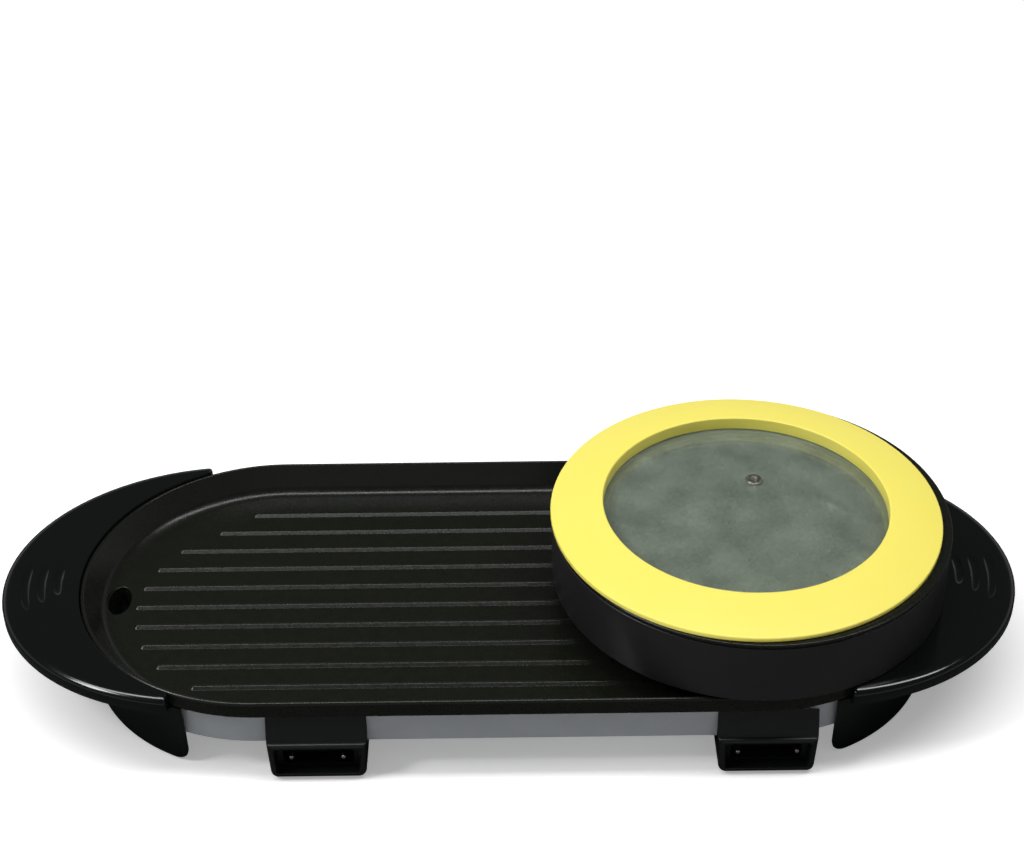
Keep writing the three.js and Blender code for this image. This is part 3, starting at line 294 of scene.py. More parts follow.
def carried(profile, stations, closed=True, around=True, insets=None):
    """A profile (distance, height) carried along stations.

    Point (i, j) lies at base j + distance i x outward j - inset i x slide j, at height i. A closed
    profile meets itself; around means that the last station meets the first.
    """
    base, outward, slide = stations
    profile = np.asarray(profile, float)
    insets = np.zeros(len(profile)) if insets is None else insets
    flat = base[None] + profile[:, :1, None] * outward[None] - insets[:, None, None] * slide[None]
    height = np.broadcast_to(profile[:, 1, None, None], flat.shape[:2] + (1,))
    return grid(np.concatenate([flat, height], -1), closed, around, caps=closed and not around)


def turned(profile, x=0.0, y=0.0, steps=ROUND):
    """A profile that starts and ends on the axis, or closes on itself, turned round a Z axis."""
    open_ended = abs(profile[0][0]) < 1e-9 and abs(profile[-1][0]) < 1e-9
    return carried(profile, circle(x, y, steps), closed=not open_ended)


def plate(outlines, height):
    """A level sheet at a height, bounded by the first outline and pierced by the others."""
    loops = [[Vector((x, y, 0)) for x, y in outline] for outline in outlines]
    flat = np.concatenate([np.asarray(outline, float) for outline in outlines])
    points = np.column_stack([flat, np.full(len(flat), height)])
    return points, [list(triangle) for triangle in tessellate_polygon(loops)]


def outline_of(stations, distance, inset=0.0):
    """The line at a distance outward of stations."""
    base, outward, slide = stations
    return base + distance * outward - inset * slide


def with_lids(profile, stations):
    """An open profile carried round stations, with a level lid at its first and its last point."""
    lids = [plate([outline_of(stations, distance)], height) for distance, height in profile[[0, -1]]]
    return joined(carried(profile, stations, closed=False), *lids)


def tube(points, radius, sides=28):
    """A round bar along points. Each ring's frame is the last one, turned the least way onto the
    route's new direction, and each end closes with a flat disc."""
    ahead = np.gradient(points, axis=0)
    ahead /= np.linalg.norm(ahead, axis=1, keepdims=True)
    side = np.cross(ahead[0], (0, 0, 1) if abs(ahead[0][2]) < 0.9 else (1, 0, 0))
    angle = np.linspace(0, 2 * math.pi, sides, endpoint=False)
    rings = []
    for centre, direction in zip(points, ahead):
        side = side - (side @ direction) * direction
        side /= np.linalg.norm(side)
        up = np.cross(direction, side)
        rings.append(centre + radius * (np.outer(np.cos(angle), side) + np.outer(np.sin(angle), up)))
    rings = np.stack(rings)
    first = points[0] + (rings[0] - points[0]) * 0.001
    last = points[-1] + (rings[-1] - points[-1]) * 0.001
    loops = np.concatenate([first[None], rings, last[None]])
    return grid(loops.transpose(1, 0, 2), close_rows=True, caps=True)


def laid(shape, x, y, z):
    """A shape that stands on the height zero, laid down with its top towards -Y."""
    points, faces = shape
    return np.stack([points[:, 0] + x, y - points[:, 2], points[:, 1] + z], -1), faces


def block(x0, x1, y0, y1, z0, z1):
    """A block with six faces."""
    outline = [(x0, y0), (x1, y0), (x1, y1), (x0, y1)]
    points = np.array([[(x, y, z) for x, y in outline] for z in (z0, z1)], float)
    shape, faces = grid(points, close_columns=True)
    return shape, faces + [[0, 1, 2, 3], [4, 5, 6, 7]]


def eased(radius, depth):
    """How far an edge rounded by a radius still draws in at a depth below its start: the radius
    less the height of the circle there, and nothing past the radius."""
    return radius - np.sqrt(np.clip(radius**2 - np.clip(radius - depth, 0, None) ** 2, 0, None))


def rounding_depths(radius, steps, last=math.pi / 2):
    """Depths at which to cut across a rounded edge, at equal steps of its quarter circle."""
    return [radius * (1 - math.sin(turn)) for turn in np.linspace(0, last, steps)]


# Pieces


def cleaned(name, shape):
    """A mesh in metres of a shape, with merged points and every face turned outwards."""
    points, faces = shape
    mesh = bpy.data.meshes.new(name)
    mesh.from_pydata((points * MM).tolist(), [], faces)
    work = bmesh.new()
    work.from_mesh(mesh)
    bmesh.ops.remove_doubles(work, verts=work.verts, dist=2e-6)
    bmesh.ops.recalc_face_normals(work, faces=work.faces)
    if work.calc_volume(signed=True) < 0:
        bmesh.ops.reverse_faces(work, faces=work.faces)
    work.to_mesh(mesh)
    work.free()
    return mesh


def added(name, data):
    """A new object in the scene."""
    thing = bpy.data.objects.new(name, data)
    bpy.context.scene.collection.objects.link(thing)
    return thing


def cut_by(mesh, tool):
    """A closed mesh less the inside of another."""
    pair = [added(own.name, own) for own in (mesh, tool)]
    cut = pair[0].modifiers.new("cut", "BOOLEAN")
    cut.operation = "DIFFERENCE"
    cut.solver = "EXACT"
    cut.object = pair[1]
    depsgraph = bpy.context.evaluated_depsgraph_get()
    result = bpy.data.meshes.new_from_object(pair[0].evaluated_get(depsgraph))
    for own in pair:
        bpy.data.objects.remove(own)
    return result


def dress(name, mesh, finish, nodes, body="base", sharp=SHARP):
    """Makes a piece of a mesh, which takes a finish, stands for some nodes and rides on a body.
    Edges that turn by more than the angle stay sharp."""
    slot, material = finish
    mesh.polygons.foreach_set("use_smooth", [True] * len(mesh.polygons))
    mesh.set_sharp_from_angle(angle=math.radians(sharp))
    mesh.materials.clear()
    mesh.materials.append(material)
    piece = added(name, mesh)
    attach(piece, body)
    if nodes:
        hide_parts(*nodes)
    return piece


def make(name, shape, finish, nodes=(), body="base", sharp=SHARP):
    """Makes a piece of a shape."""
    dress(name, cleaned(name, shape), finish, nodes, body, sharp)


def stand_in(node, shape, finish, body="base", sharp=SHARP):
    """Makes the piece of a shape that stands for a node."""
    make(node + "_look", shape, finish, [node], body, sharp)


def soften(node, finish, edge, body="base", sharp=40):
    """Makes a piece of a node's own mesh, with merged points, level faces in one and round edges."""
    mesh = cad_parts[node].data.copy()
    work = bmesh.new()
    work.from_mesh(mesh)
    bmesh.ops.remove_doubles(work, verts=work.verts, dist=2e-6)
    bmesh.ops.dissolve_limit(work, angle_limit=math.radians(0.6), verts=work.verts, edges=work.edges)
    work.to_mesh(mesh)
    work.free()
    piece = dress(node + "_look", mesh, finish, [node], body, sharp)
    rounding = piece.modifiers.new("rounded edges", "BEVEL")
    rounding.width = edge * MM
    rounding.segments = 3
    rounding.limit_method = "ANGLE"
    rounding.angle_limit = math.radians(sharp)
    rounding.harden_normals = True
    rounding.use_clamp_overlap = True


# Materials


def srgb(code):
    """A colour written as hex, such as #fdee6b, in linear light."""
    parts = [int(code[i : i + 2], 16) / 255 for i in (1, 3, 5)]
    return [c / 12.92 if c <= 0.04045 else ((c + 0.055) / 1.055) ** 2.4 for c in parts] + [1.0]


def add_node(tree, kind, settings=None, links=None):
    """A node with its own settings, or the values of its inputs, and links into its inputs."""
    node = tree.nodes.new(kind)
    for key, value in (settings or {}).items():
        if isinstance(key, str) and hasattr(node, key):
            setattr(node, key, value)
        else:
            node.inputs[key].default_value = value
    for key, source in (links or {}).items():
        tree.links.new(source, node.inputs[key])
    return node


def new_material(name, **settings):
    """A material with one shader, its settings and the piece's own coordinates in metres."""
    material = bpy.data.materials.new(name)
    material.use_nodes = True
    tree = material.node_tree
    shader = tree.nodes["Principled BSDF"]
    for key, value in settings.items():
        shader.inputs[key.replace("_", " ")].default_value = value
    where = add_node(tree, "ShaderNodeTexCoord").outputs["Object"]
    return material, tree, shader, where


def grain(tree, where, size, detail=3.0, stretch=(1, 1, 1)):
    """Clouds with features of a size in millimetres, drawn out by a stretch along each axis."""
    scale = [1 / (size * MM * s) for s in stretch]
    scaled = add_node(tree, "ShaderNodeMapping", {"Scale": scale}, {"Vector": where}).outputs[0]
    settings = {"Scale": 1.0, "Detail": detail}
    return add_node(tree, "ShaderNodeTexNoise", settings, {"Vector": scaled}).outputs["Fac"]


def mottle(tree, shader, value, first, second):
    """Gives the surface one of two tones, or what lies between, by a value."""
    colours = {"data_type": "RGBA", 6: srgb(first), 7: srgb(second)}
    mix = add_node(tree, "ShaderNodeMix", colours, {0: value})
    tree.links.new(mix.outputs[2], shader.inputs["Base Color"])


def vary_gloss(tree, shader, value, low, high, start=0.3, end=0.7):
    """Lets the roughness run from low to high while a value runs from start to end."""
    settings = {"From Min": start, "From Max": end, "To Min": low, "To Max": high}
    spread = add_node(tree, "ShaderNodeMapRange", settings, {"Value": value})
    tree.links.new(spread.outputs[0], shader.inputs["Roughness"])


def roughen(tree, shader, value, depth, distance=0.05):
    """Lets a value raise and sink the surface, by a depth from 0 to 1 of a distance in millimetres."""
    settings = {"Strength": depth, "Distance": distance * MM}
    bump = add_node(tree, "ShaderNodeBump", settings, {"Height": value})
    tree.links.new(bump.outputs[0], shader.inputs["Normal"])


def new_finish(slot, name, tones=None, gloss=None, relief=None, **settings):
    """A slot name and its material, which varies by clouds. Tones are their size and two
    colours, gloss is their size and two degrees of roughness, and relief is their size, a depth, a
    distance and, where it isn't 3, their detail."""
    material, tree, shader, where = new_material(name, **settings)
    if tones:
        size, *colours = tones
        mottle(tree, shader, grain(tree, where, size), *colours)
    if gloss:
        size, low, high = gloss
        vary_gloss(tree, shader, grain(tree, where, size), low, high)
    if relief:
        size, depth, distance, *detail = relief
        roughen(tree, shader, grain(tree, where, size, *detail), depth, distance)
    return slot, material


# Sprayed and baked non-stick coating: a soft sheen over a fine grain, a little uneven in gloss.
NONSTICK = new_finish(
    "nonstick_coating", "non-stick coating, sprayed and baked",
    tones=(9, "#12140f", "#171913"), gloss=(6, 0.23, 0.31), relief=(0.55, 0.14, 0.04), IOR=1.4,
)

# Phenolic moulding from a polished mould: deep black with a clear gloss and faint flow waves.
GLOSS_BLACK = new_finish(
    "gloss_black_plastic", "phenolic moulding, polished",
    gloss=(14, 0.1, 0.16), relief=(7, 0.06, 0.05, 2), Base_Color=srgb("#0c0f0e"), IOR=1.52,
)

# Moulding from a spark-eroded mould: an even matt grain that breaks up the shine.
BLACK_PLASTIC = new_finish(
    "black_plastic", "heat-proof moulding, fine eroded grain",
    tones=(5, "#0d1010", "#121514"), relief=(0.35, 0.35, 0.04), Roughness=0.36, IOR=1.5,
)

# Stoved enamel on the pot: a smooth half gloss with the slight orange peel of sprayed paint.
ENAMEL = new_finish(
    "pot_paint", "stoved enamel, sprayed",
    tones=(20, "#1e1d1f", "#232224"), gloss=(12, 0.3, 0.38), relief=(2.2, 0.12, 0.05, 1), IOR=1.5,
)

# Coloured moulding with a half gloss: an even colour and a sheen that is a little soft.
YELLOW = new_finish(
    "yellow_plastic", "polypropylene moulding, half gloss",
    tones=(30, "#fdee6b", "#fdf072"), gloss=(10, 0.3, 0.38), relief=(0.8, 0.1, 0.04), IOR=1.49,
)

# Toughened glass: clear, with a slight green cast and a faint haze, and lit through where light
# only passes.
material, tree, shader, where = new_material("toughened glass", IOR=1.52, Roughness=0.03)
shader.inputs["Base Color"].default_value = srgb("#dfeade")
shader.inputs["Transmission Weight"].default_value = 1.0
clear = add_node(tree, "ShaderNodeBsdfTransparent", {"Color": srgb("#e2ebe0")}).outputs[0]
haze = add_node(tree, "ShaderNodeBsdfDiffuse", {"Color": srgb("#c4cfc2")}).outputs[0]
settings = {"From Min": 0.3, "From Max": 0.7, "To Min": 0.1, "To Max": 0.17}
share = add_node(tree, "ShaderNodeMapRange", settings, {"Value": grain(tree, where, 22, 4)}).outputs[0]
hazy = add_node(tree, "ShaderNodeMixShader", {}, {0: share, 1: shader.outputs[0], 2: haze}).outputs[0]
passing = add_node(tree, "ShaderNodeLightPath").outputs["Is Shadow Ray"]
mixed = add_node(tree, "ShaderNodeMixShader", {}, {0: passing, 1: hazy, 2: clear}).outputs[0]
tree.links.new(mixed, tree.nodes["Material Output"].inputs["Surface"])
GLASS = ("lid_glass", material)

# Rolled zinc-coated sheet: a dull shine drawn out along the rolling direction, with faint clouds.
material, tree, shader, where = new_material("rolled zinc-coated sheet", Metallic=0.6)
streak = grain(tree, where, 0.5, 2, (60, 60, 1))
mottle(tree, shader, grain(tree, where, 12), "#c3c8cd", "#cdd1d5")
vary_gloss(tree, shader, streak, 0.36, 0.5)
roughen(tree, shader, streak, 0.15, 0.02)
STEEL = ("sheet_steel", material)

# Cast aluminium, faced on a lathe: pale grey with fine rings about the plate's centre. The wave
# repeats every pi / 10 of its own length, and at this scale that is 2.96 mm.
material, tree, shader, where = new_material("cast aluminium, faced", Metallic=1.0)
settings = {"vector_type": "POINT", "Location": (-POT_X * MM, 0, 0)}
centred = add_node(tree, "ShaderNodeMapping", settings, {"Vector": where}).outputs[0]
settings = {"wave_type": "RINGS", "rings_direction": "Z", "Distortion": 0.4}
settings["Scale"] = 1 / (3 * math.pi * MM)
rings = add_node(tree, "ShaderNodeTexWave", settings, {"Vector": centred}).outputs["Fac"]
mottle(tree, shader, grain(tree, where, 8), "#a9abad", "#b6b8ba")
vary_gloss(tree, shader, rings, 0.32, 0.46, 0, 1)
roughen(tree, shader, rings, 0.2, 0.02)
ALUMINIUM = ("cast_aluminium", material)

# Heater sheath after use: dark oxide with a brown and blue heat tint in patches.
SHEATH = new_finish(
    "heater_tube", "heater sheath, heat tinted",
    tones=(25, "#4b4440", "#3d4248"), gloss=(3, 0.42, 0.6), relief=(0.6, 0.2, 0.03), Metallic=0.9,
)

# Nickel plating: bright, faintly warm, with the fine turning marks of the pin below.
NICKEL = new_finish(
    "nickel_plate", "nickel plating",
    tones=(2, "#cfccc4", "#d8d6cf"), gloss=(0.8, 0.18, 0.3), relief=(0.25, 0.1, 0.01, 2), Metallic=1.0,
)

# Foot rubber: dull, dusty black with a moulded grain.
RUBBER = new_finish(
    "foot_rubber", "moulded rubber",
    tones=(1.5, "#171717", "#1f1f1e"), relief=(0.4, 0.4, 0.05), Roughness=0.85, IOR=1.52,
)

# Silicone gasket: grey, soft and waxy.
SILICONE = new_finish(
    "silicone", "silicone",
    tones=(4, "#54575a", "#5c5f62"), relief=(0.6, 0.2, 0.04), Roughness=0.55, IOR=1.41,
)


# Grill pan: the floor with its openings, the sloping wall and the turned-down rim in one casting

# The wall's profile goes round the pan's outline, and its ends draw in below the rim, in proportion
# to the depth, by the floor's inset.
rim_line = oval(END)
skirt_inside = PAN_RADIUS - CASTING_WALL
wall = filleted(
    (FLOOR_EDGE, FLOOR, 0),
    (WALL_FOOT, FLOOR, WALL_FILLET),
    (PAN_RADIUS - RIM_WIDTH, RIM_TOP, 0.8),
    (PAN_RADIUS, RIM_TOP, 2.0),
    (PAN_RADIUS, RIM_TOP - RIM_SKIRT, 0.6),
    (skirt_inside, RIM_TOP - RIM_SKIRT, 0.6),
    (skirt_inside, RIM_TOP - SKIRT_CEILING, 0.4),
    (BACK_FOOT, UNDERSIDE, BACK_FILLET),
    (FLOOR_EDGE, UNDERSIDE, 0),
    steps=8,
)
lean = FLOOR_INSET * (1 - np.clip((wall[:, 1] - FLOOR) / (RIM_TOP - FLOOR), 0, 1))
plate_line = circle(POT_X, 0)
collar_top = FLOOR + COLLAR_RISE
collar = filleted(
    (PLATE_RADIUS + 4.6, FLOOR, 0),
    (PLATE_RADIUS + 3.6, FLOOR, 0.6),
    (PLATE_RADIUS + 3.4, collar_top, 0.5),
    (PLATE_RADIUS + 0.4, collar_top, 0.4),
    (PLATE_RADIUS + 0.4, UNDERSIDE, 0),
    steps=4,
)
floor_line = outline_of(rim_line, FLOOR_EDGE, FLOOR_INSET)
sheets = [plate([floor_line, outline_of(plate_line, reach)], z) for reach, z in collar[[0, -1]]]
sloping = carried(wall, rim_line, closed=False, insets=lean)
grill_pan = joined(sloping, *sheets, carried(collar, plate_line, closed=False))

# The drain runs into the fillet at the pan's left end, so it is cut through the finished casting.
# The cutter is an upright prism on the ellipse that opens out along a round edge at the floor.
drain_profile = filleted(
    (0, UNDERSIDE - 3, 0),
    (0, FLOOR, DRAIN_EDGE - 0.05),
    (DRAIN_EDGE, FLOOR, 0),
    (DRAIN_EDGE + 0.5, FLOOR + 5, 0),
)
cutter = cleaned("drain cutter", with_lids(drain_profile, ellipse(*DRAIN)))
casting = cut_by(cleaned("casting", grill_pan), cutter)
dress("grill_pan_look", casting, NONSTICK, ["grill_pan"])

boss = oblong(SCREW_BORE, BOSS_RADIUS, pan_low[2], UNDERSIDE + SINK)
bosses = [turned(boss, x, y, 48) for x in (-BOSS_X, BOSS_X) for y in (-BOSS_Y, BOSS_Y)]
make("pan_bosses", joined(*bosses), NONSTICK)


def ribs():
    """Low cast ridges with flanks of 33 degrees, a rounded crest and half cones for ends. The left
    ends lie on an arc about the drain's side, and the right ones on a circle about the pot."""
    section = filleted(
        (0, FLOOR - RIB_ROOT, 0),
        (RIB_FOOT + 0.6, FLOOR - RIB_ROOT, 0),
        (RIB_FOOT + 0.6, FLOOR - 0.1, 0),
        (RIB_FOOT, FLOOR, 0.6),
        (RIB_CREST, FLOOR + RIB_HEIGHT, 1.3),
        (0, FLOOR + RIB_HEIGHT, 0),
    )
    centre_x, centre_y, arc, least = RIB_ARC
    for i in range(RIB_COUNT):
        y = RIB_PITCH * (i - (RIB_COUNT - 1) / 2)
        left = centre_x - math.sqrt(max(arc**2 - (y - centre_y) ** 2, least**2))
        right = POT_X - math.sqrt(RIB_POT**2 - y**2)
        stations = oval((right - left) / 2 - RIB_FOOT, 32, (left + right) / 2, y)
        yield carried(section, stations, closed=False)


make("grill_ribs", joined(*ribs()), NONSTICK)


# Hot plate: a faced disc on a flange that leaves the heater's way free, on three posts
disc = filleted(
    (0, FLOOR + PLATE_RISE, 0),
    (PLATE_RADIUS, FLOOR + PLATE_RISE, 0.8),
    (PLATE_RADIUS, FLANGE_HIGH, 0),
    (PLATE_RADIUS - FLANGE_WIDTH, FLANGE_HIGH, 0),
    (0, UNDERSIDE, 0),
    steps=5,
)
flange = [
    (PLATE_RADIUS - FLANGE_WIDTH, FLANGE_LOW),
    (PLATE_RADIUS + FLANGE_WIDTH, FLANGE_LOW),
    (PLATE_RADIUS + FLANGE_WIDTH, FLANGE_HIGH),
    (PLATE_RADIUS - FLANGE_WIDTH, FLANGE_HIGH + SINK),
]
notch = math.radians(FLANGE_NOTCH)
line = circle(POT_X, 0, 180, notch - math.pi / 2, 2 * (math.pi - notch), closed=False)
post = oblong(0, POST_RADIUS, pan_low[2], FLANGE_LOW + 0.9)
places = outline_of(circle(POT_X, steps=3, start=math.pi / 2), POST_CIRCLE)
posts = [turned(post, x, y, 48) for x, y in places]
hot_plate = joined(turned(disc, POT_X), carried(flange, line, around=False), *posts)
stand_in("hot_plate", hot_plate, ALUMINIUM)

# Hot pot: the inner pot and its outer wall
rim_under = POT_TOP - POT_WALL
inner = filleted(
    (0, POT_BOTTOM, 0),
    (POT_FOOT, POT_BOTTOM, 9),
    (POT_NECK, rim_under, 0.8),
    (POT_RADIUS, rim_under, 0.9),
    (POT_RADIUS, POT_TOP, 1.1),
    (POT_MOUTH, POT_TOP, 1.2),
    (POT_FLOOR, POT_BOTTOM + POT_WALL, 7),
    (0, POT_BOTTOM + POT_WALL, 0),
    steps=8,
)
stand_in("pot_inner", turned(inner, POT_X), NONSTICK, "pot")
step_under = HANDLE_TOP + SHELL_CLEARANCE
step_top = step_under + SHELL_WALL
shell_inside = POT_RADIUS - SHELL_WALL
shell = filleted(
    (SHELL_FOOT[0], shell_low[2], 0),
    (SHELL_FOOT[1], shell_low[2], 0.3),
    (SHELL_FOOT[1], step_under, 0.3),
    (POT_RADIUS, step_under, 1.4),
    (POT_RADIUS, shell_high[2], 0.5),
    (shell_inside, shell_high[2], 0.4),
    (shell_inside, step_top, 0.8),
    (SHELL_FOOT[0], step_top, 0.4),
)
stand_in("pot_shell", turned(shell, POT_X), ENAMEL, "pot")

# Lid, in heights above its seat: the ring, the domed glass, its gasket, the retainer and the vent
skirt_radius, skirt_bottom = LID_SKIRT
ring = filleted(
    (skirt_radius + RING_WALL, 0, 0.3),
    (LID_RADIUS, 0, 0.5),
    (LID_RADIUS, RING_EDGE, 1.0),
    (WINDOW, RING_CREST, 0.9),
    (WINDOW, 1.5, 0.3),
    (WINDOW + RING_WALL, 1.5, 0.3),
    (WINDOW + RING_WALL, 7.6, 0.5),
    (skirt_radius, 3.8, 0.5),
    (skirt_radius, skirt_bottom, 0.4),
    (skirt_radius + RING_WALL, skirt_bottom, 0.4),
)
stand_in("lid_ring", turned(ring + (0, SEAT), LID_X), YELLOW, "lid")
across = np.linspace(0, WINDOW, 24)
dome = np.stack([across, GLASS_TOP + GLASS_RISE * (1 - (across / WINDOW) ** 2)], -1)
glass_edge = [
    (GLASS_RADIUS - GLASS_CHAMFER, GLASS_TOP - GLASS_WALL),
    (GLASS_RADIUS, GLASS_TOP - GLASS_WALL + GLASS_CHAMFER),
    (GLASS_RADIUS, GLASS_TOP - GLASS_CHAMFER),
    (GLASS_RADIUS - GLASS_CHAMFER, GLASS_TOP),
]
pane = np.concatenate([dome - (0, GLASS_WALL), glass_edge, dome[::-1]])
stand_in("lid_glass", turned(pane + (0, SEAT), LID_X), GLASS, "lid")
low, high = box_of("lid_gasket")
gasket_radius = high[1]
gasket = filleted(
    (WINDOW, low[2], 0.4),
    (gasket_radius, low[2], 0.5),
    (gasket_radius, high[2], 0.4),
    (GLASS_RADIUS + 0.3, high[2], 0.4),
    (GLASS_RADIUS + 0.3, low[2] + 1.2, 0.2),
    (WINDOW, low[2] + 1.2, 0.3),
    steps=4,
)
stand_in("lid_gasket", turned(gasket, LID_X), SILICONE, "lid")
low, high = box_of("lid_retainer")
retainer = oblong(WINDOW - RETAINER_OVERLAP, high[1], low[2], high[2], 0.3, 0.3, 3)
stand_in("lid_retainer", turned(retainer, LID_X), BLACK_PLASTIC, "lid")
low, high = box_of("steam_vent")
vent_x, vent_y = (low[:2] + high[:2]) / 2
vent_bore, vent_stem, vent_flange = 2.3, 3.3, 5.4
vent = filleted(
    (vent_bore, low[2], 0.3),
    (vent_stem, low[2], 0.3),
    (vent_stem, high[2] - 1.1, 0),
    (vent_flange, high[2] - 1.1, 0.2),
    (vent_flange, high[2], 0.5),
    (vent_bore, high[2], 0.4),
    steps=5,
)
stand_in("steam_vent", turned(vent, vent_x, vent_y, 64), NICKEL, "lid")


# Moulded ends


def on_circle(radius, u, plane=TIP):
    """Points of a circle about the round end's centre; u runs from -1 to 1 between its two points in
    the plane of the tips."""
    angle = u * np.arccos(-plane / radius)
    return np.stack([-radius * np.cos(angle), radius * np.sin(angle)], -1)


def on_ellipse(inset, u):
    """The same on the crescent's outer ellipse, drawn in by an inset."""
    reach = ELLIPSE_A - inset
    angle = u * np.arccos((ELLIPSE_X - TIP) / reach)
    return np.stack([ELLIPSE_X - reach * np.cos(angle), (ELLIPSE_B - inset) * np.sin(angle)], -1)


def at_height(flat, height):
    """Flat points at a height, or at one height each."""
    return np.column_stack([flat, np.broadcast_to(height, len(flat))])


def groove_height(points):
    """Height of the crescent's top, where shallow grooves follow its outer edge: circles of one
    radius, sunk by a depth that runs out with the fourth power of the way to a groove's end."""
    height = np.full(len(points), HANDLE_TOP)
    for inset, middle, half in GROOVES:
        share = (points[:, 1] - middle) / half
        bow = np.clip(1 - (points[:, 1] / (ELLIPSE_B - inset)) ** 2, 0, 1)
        aside = points[:, 0] - ELLIPSE_X + (ELLIPSE_A - inset) * np.sqrt(bow)
        circle_height = np.sqrt(np.clip(GROOVE_RADIUS**2 - aside**2, 0, None))
        bottom = HANDLE_TOP + GROOVE_RADIUS - GROOVE_DEPTH * (1 - share**4) - circle_height
        within = (abs(share) < 1) & (abs(aside) < GROOVE_RADIUS)
        height = np.where(within, np.minimum(height, bottom), height)
    return height


def crescent_section(u, worn):
    """The crescent's closed sections at shares u: the top, the rounded outer edge, the pocket and
    the upright round the pan's rim down to the shelf. Worn draws the edges in."""
    top = HANDLE_TOP - worn
    start = on_circle(INNER + 0.6 + worn, u)
    loops = [
        at_height(on_circle(INNER + worn, u), top - 0.6),
        at_height(on_circle(INNER + 0.15 + worn, u), top - 0.18),
        at_height(start, top),
    ]
    width, depth = EDGE
    end = on_ellipse(width + worn, u)
    for share in np.linspace(0, 1, 72)[1:-1]:
        flat = start + share * (end - start)
        loops.append(at_height(flat, groove_height(flat) - worn))
    for angle in np.linspace(math.pi / 2, 0, 25):
        flat = on_ellipse(width - width * math.cos(angle) + worn, u)
        loops.append(at_height(flat, top - depth + depth * math.sin(angle)))
    ceiling = np.where(abs(u) < POCKET_END, POCKET_TOP, HANDLE_BOTTOM)
    outline = [
        (on_ellipse, worn, HANDLE_BOTTOM + 1),
        (on_ellipse, 0.3 + worn, HANDLE_BOTTOM + 0.3),
        (on_ellipse, 1 + worn, HANDLE_BOTTOM),
        (on_ellipse, MOULDED_WALL, HANDLE_BOTTOM),
        (on_ellipse, MOULDED_WALL, ceiling),
        (on_circle, UPRIGHT, ceiling),
        (on_circle, UPRIGHT, SHELF[0] + 0.4),
        (on_circle, UPRIGHT - 0.4, SHELF[0]),
        (on_circle, SHELF_REACH, SHELF[0] + 0.1),
        (on_circle, SHELF_REACH, SHELF[1] - 0.1),
        (on_circle, INNER + worn, SHELF[1]),
    ]
    return np.stack(loops + [at_height(line(reach, u), z) for line, reach, z in outline])


def leg_radius(height):
    """Outer radius of the leg wall at a height."""
    return LEG_FOOT + LEG_TAPER * (height - LEG_BOTTOM) / (SHELF[1] - LEG_BOTTOM)


def leg_section(u, worn):
    """The leg wall's closed sections at shares u. The lower edge rises along a quarter circle before
    each tip and makes way for an arch with rounded corners."""
    x, y = on_circle(LEG_MIDDLE, u, LEG_TIP).T
    half, height, corner = ARCH
    low = LEG_BOTTOM + eased(LEG_CORNER, LEG_TIP - x)
    low = np.where(abs(y) < half, height - eased(corner, half - abs(y)), low)
    high = SHELF[1]
    outline = [
        (leg_radius(high) - 0.4 - worn, high),
        (leg_radius(high - 0.4) - worn, high - 0.4),
        (leg_radius(low + 0.5) - worn, low + 0.5),
        (leg_radius(low) - 0.5 - worn, low),
        (leg_radius(low) - LEG_WALL + 0.5 + worn, low),
        (leg_radius(low + 0.5) - LEG_WALL + worn, low + 0.5),
        (leg_radius(high - 0.4) - LEG_WALL + worn, high - 0.4),
        (leg_radius(high) - LEG_WALL + 0.4 + worn, high),
    ]
    return np.stack([at_height(on_circle(radius, u, LEG_TIP), z) for radius, z in outline])


def swept(section, plane, wear, backs, extra):
    """A section carried from tip to tip, with more stations at distances back from the plane of the
    tips and at extra shares. Each tip wears down along a quarter circle of the radius wear."""
    reach = math.acos(-plane / LEG_MIDDLE)
    backs = np.array(backs + rounding_depths(wear, 9))
    at_backs = np.arccos((backs - plane) / LEG_MIDDLE) / reach
    shares = np.round(np.concatenate([np.linspace(0, 0.97, 150), extra, at_backs]), 6)
    shares = np.unique(shares[shares <= 1])
    u = np.concatenate([-shares[:0:-1], shares])
    worn = eased(wear, plane - on_circle(LEG_MIDDLE, u, plane)[:, 0])
    return grid(section(u, worn), close_rows=True, caps=True)


# The pocket ends a wall's thickness before the plane of the tips, on a circle.
POCKET_END = math.acos((MOULDED_WALL - TIP) / POCKET_RADIUS) / math.acos(-TIP / POCKET_RADIUS)
half, _, corner = ARCH
places = [half + 0.02, half - 0.02] + [half - depth for depth in rounding_depths(corner, 8, 1.5)]
leg_reach = math.acos(-LEG_TIP / LEG_MIDDLE)
arch_shares = [math.asin(y / LEG_MIDDLE) / leg_reach for y in places]
leg = swept(leg_section, LEG_TIP, LEG_EDGE, rounding_depths(LEG_CORNER, 12) + [1.5], arch_shares)
crescent = swept(crescent_section, TIP, CRESCENT_TIP, [5, 3], [POCKET_END - 0.001, POCKET_END + 0.001])


def foot_boss(x, y):
    """A boss with a seat for the rubber foot below and a bore for its screw."""
    radius, seat, bore = 9, 6.8, 4.1
    seat_top, bore_top, top = 3.3, 18.3, 24.2
    profile = filleted(
        (seat, LEG_BOTTOM, 0.3),
        (radius, LEG_BOTTOM, 0.4),
        (radius, top, 0.3),
        (2.3, top, 0.2),
        (2.3, bore_top, 0),
        (bore, bore_top, 0),
        (bore, seat_top, 0.2),
        (seat, seat_top, 0),
        steps=4,
    )
    return turned(profile, x, y, 64)


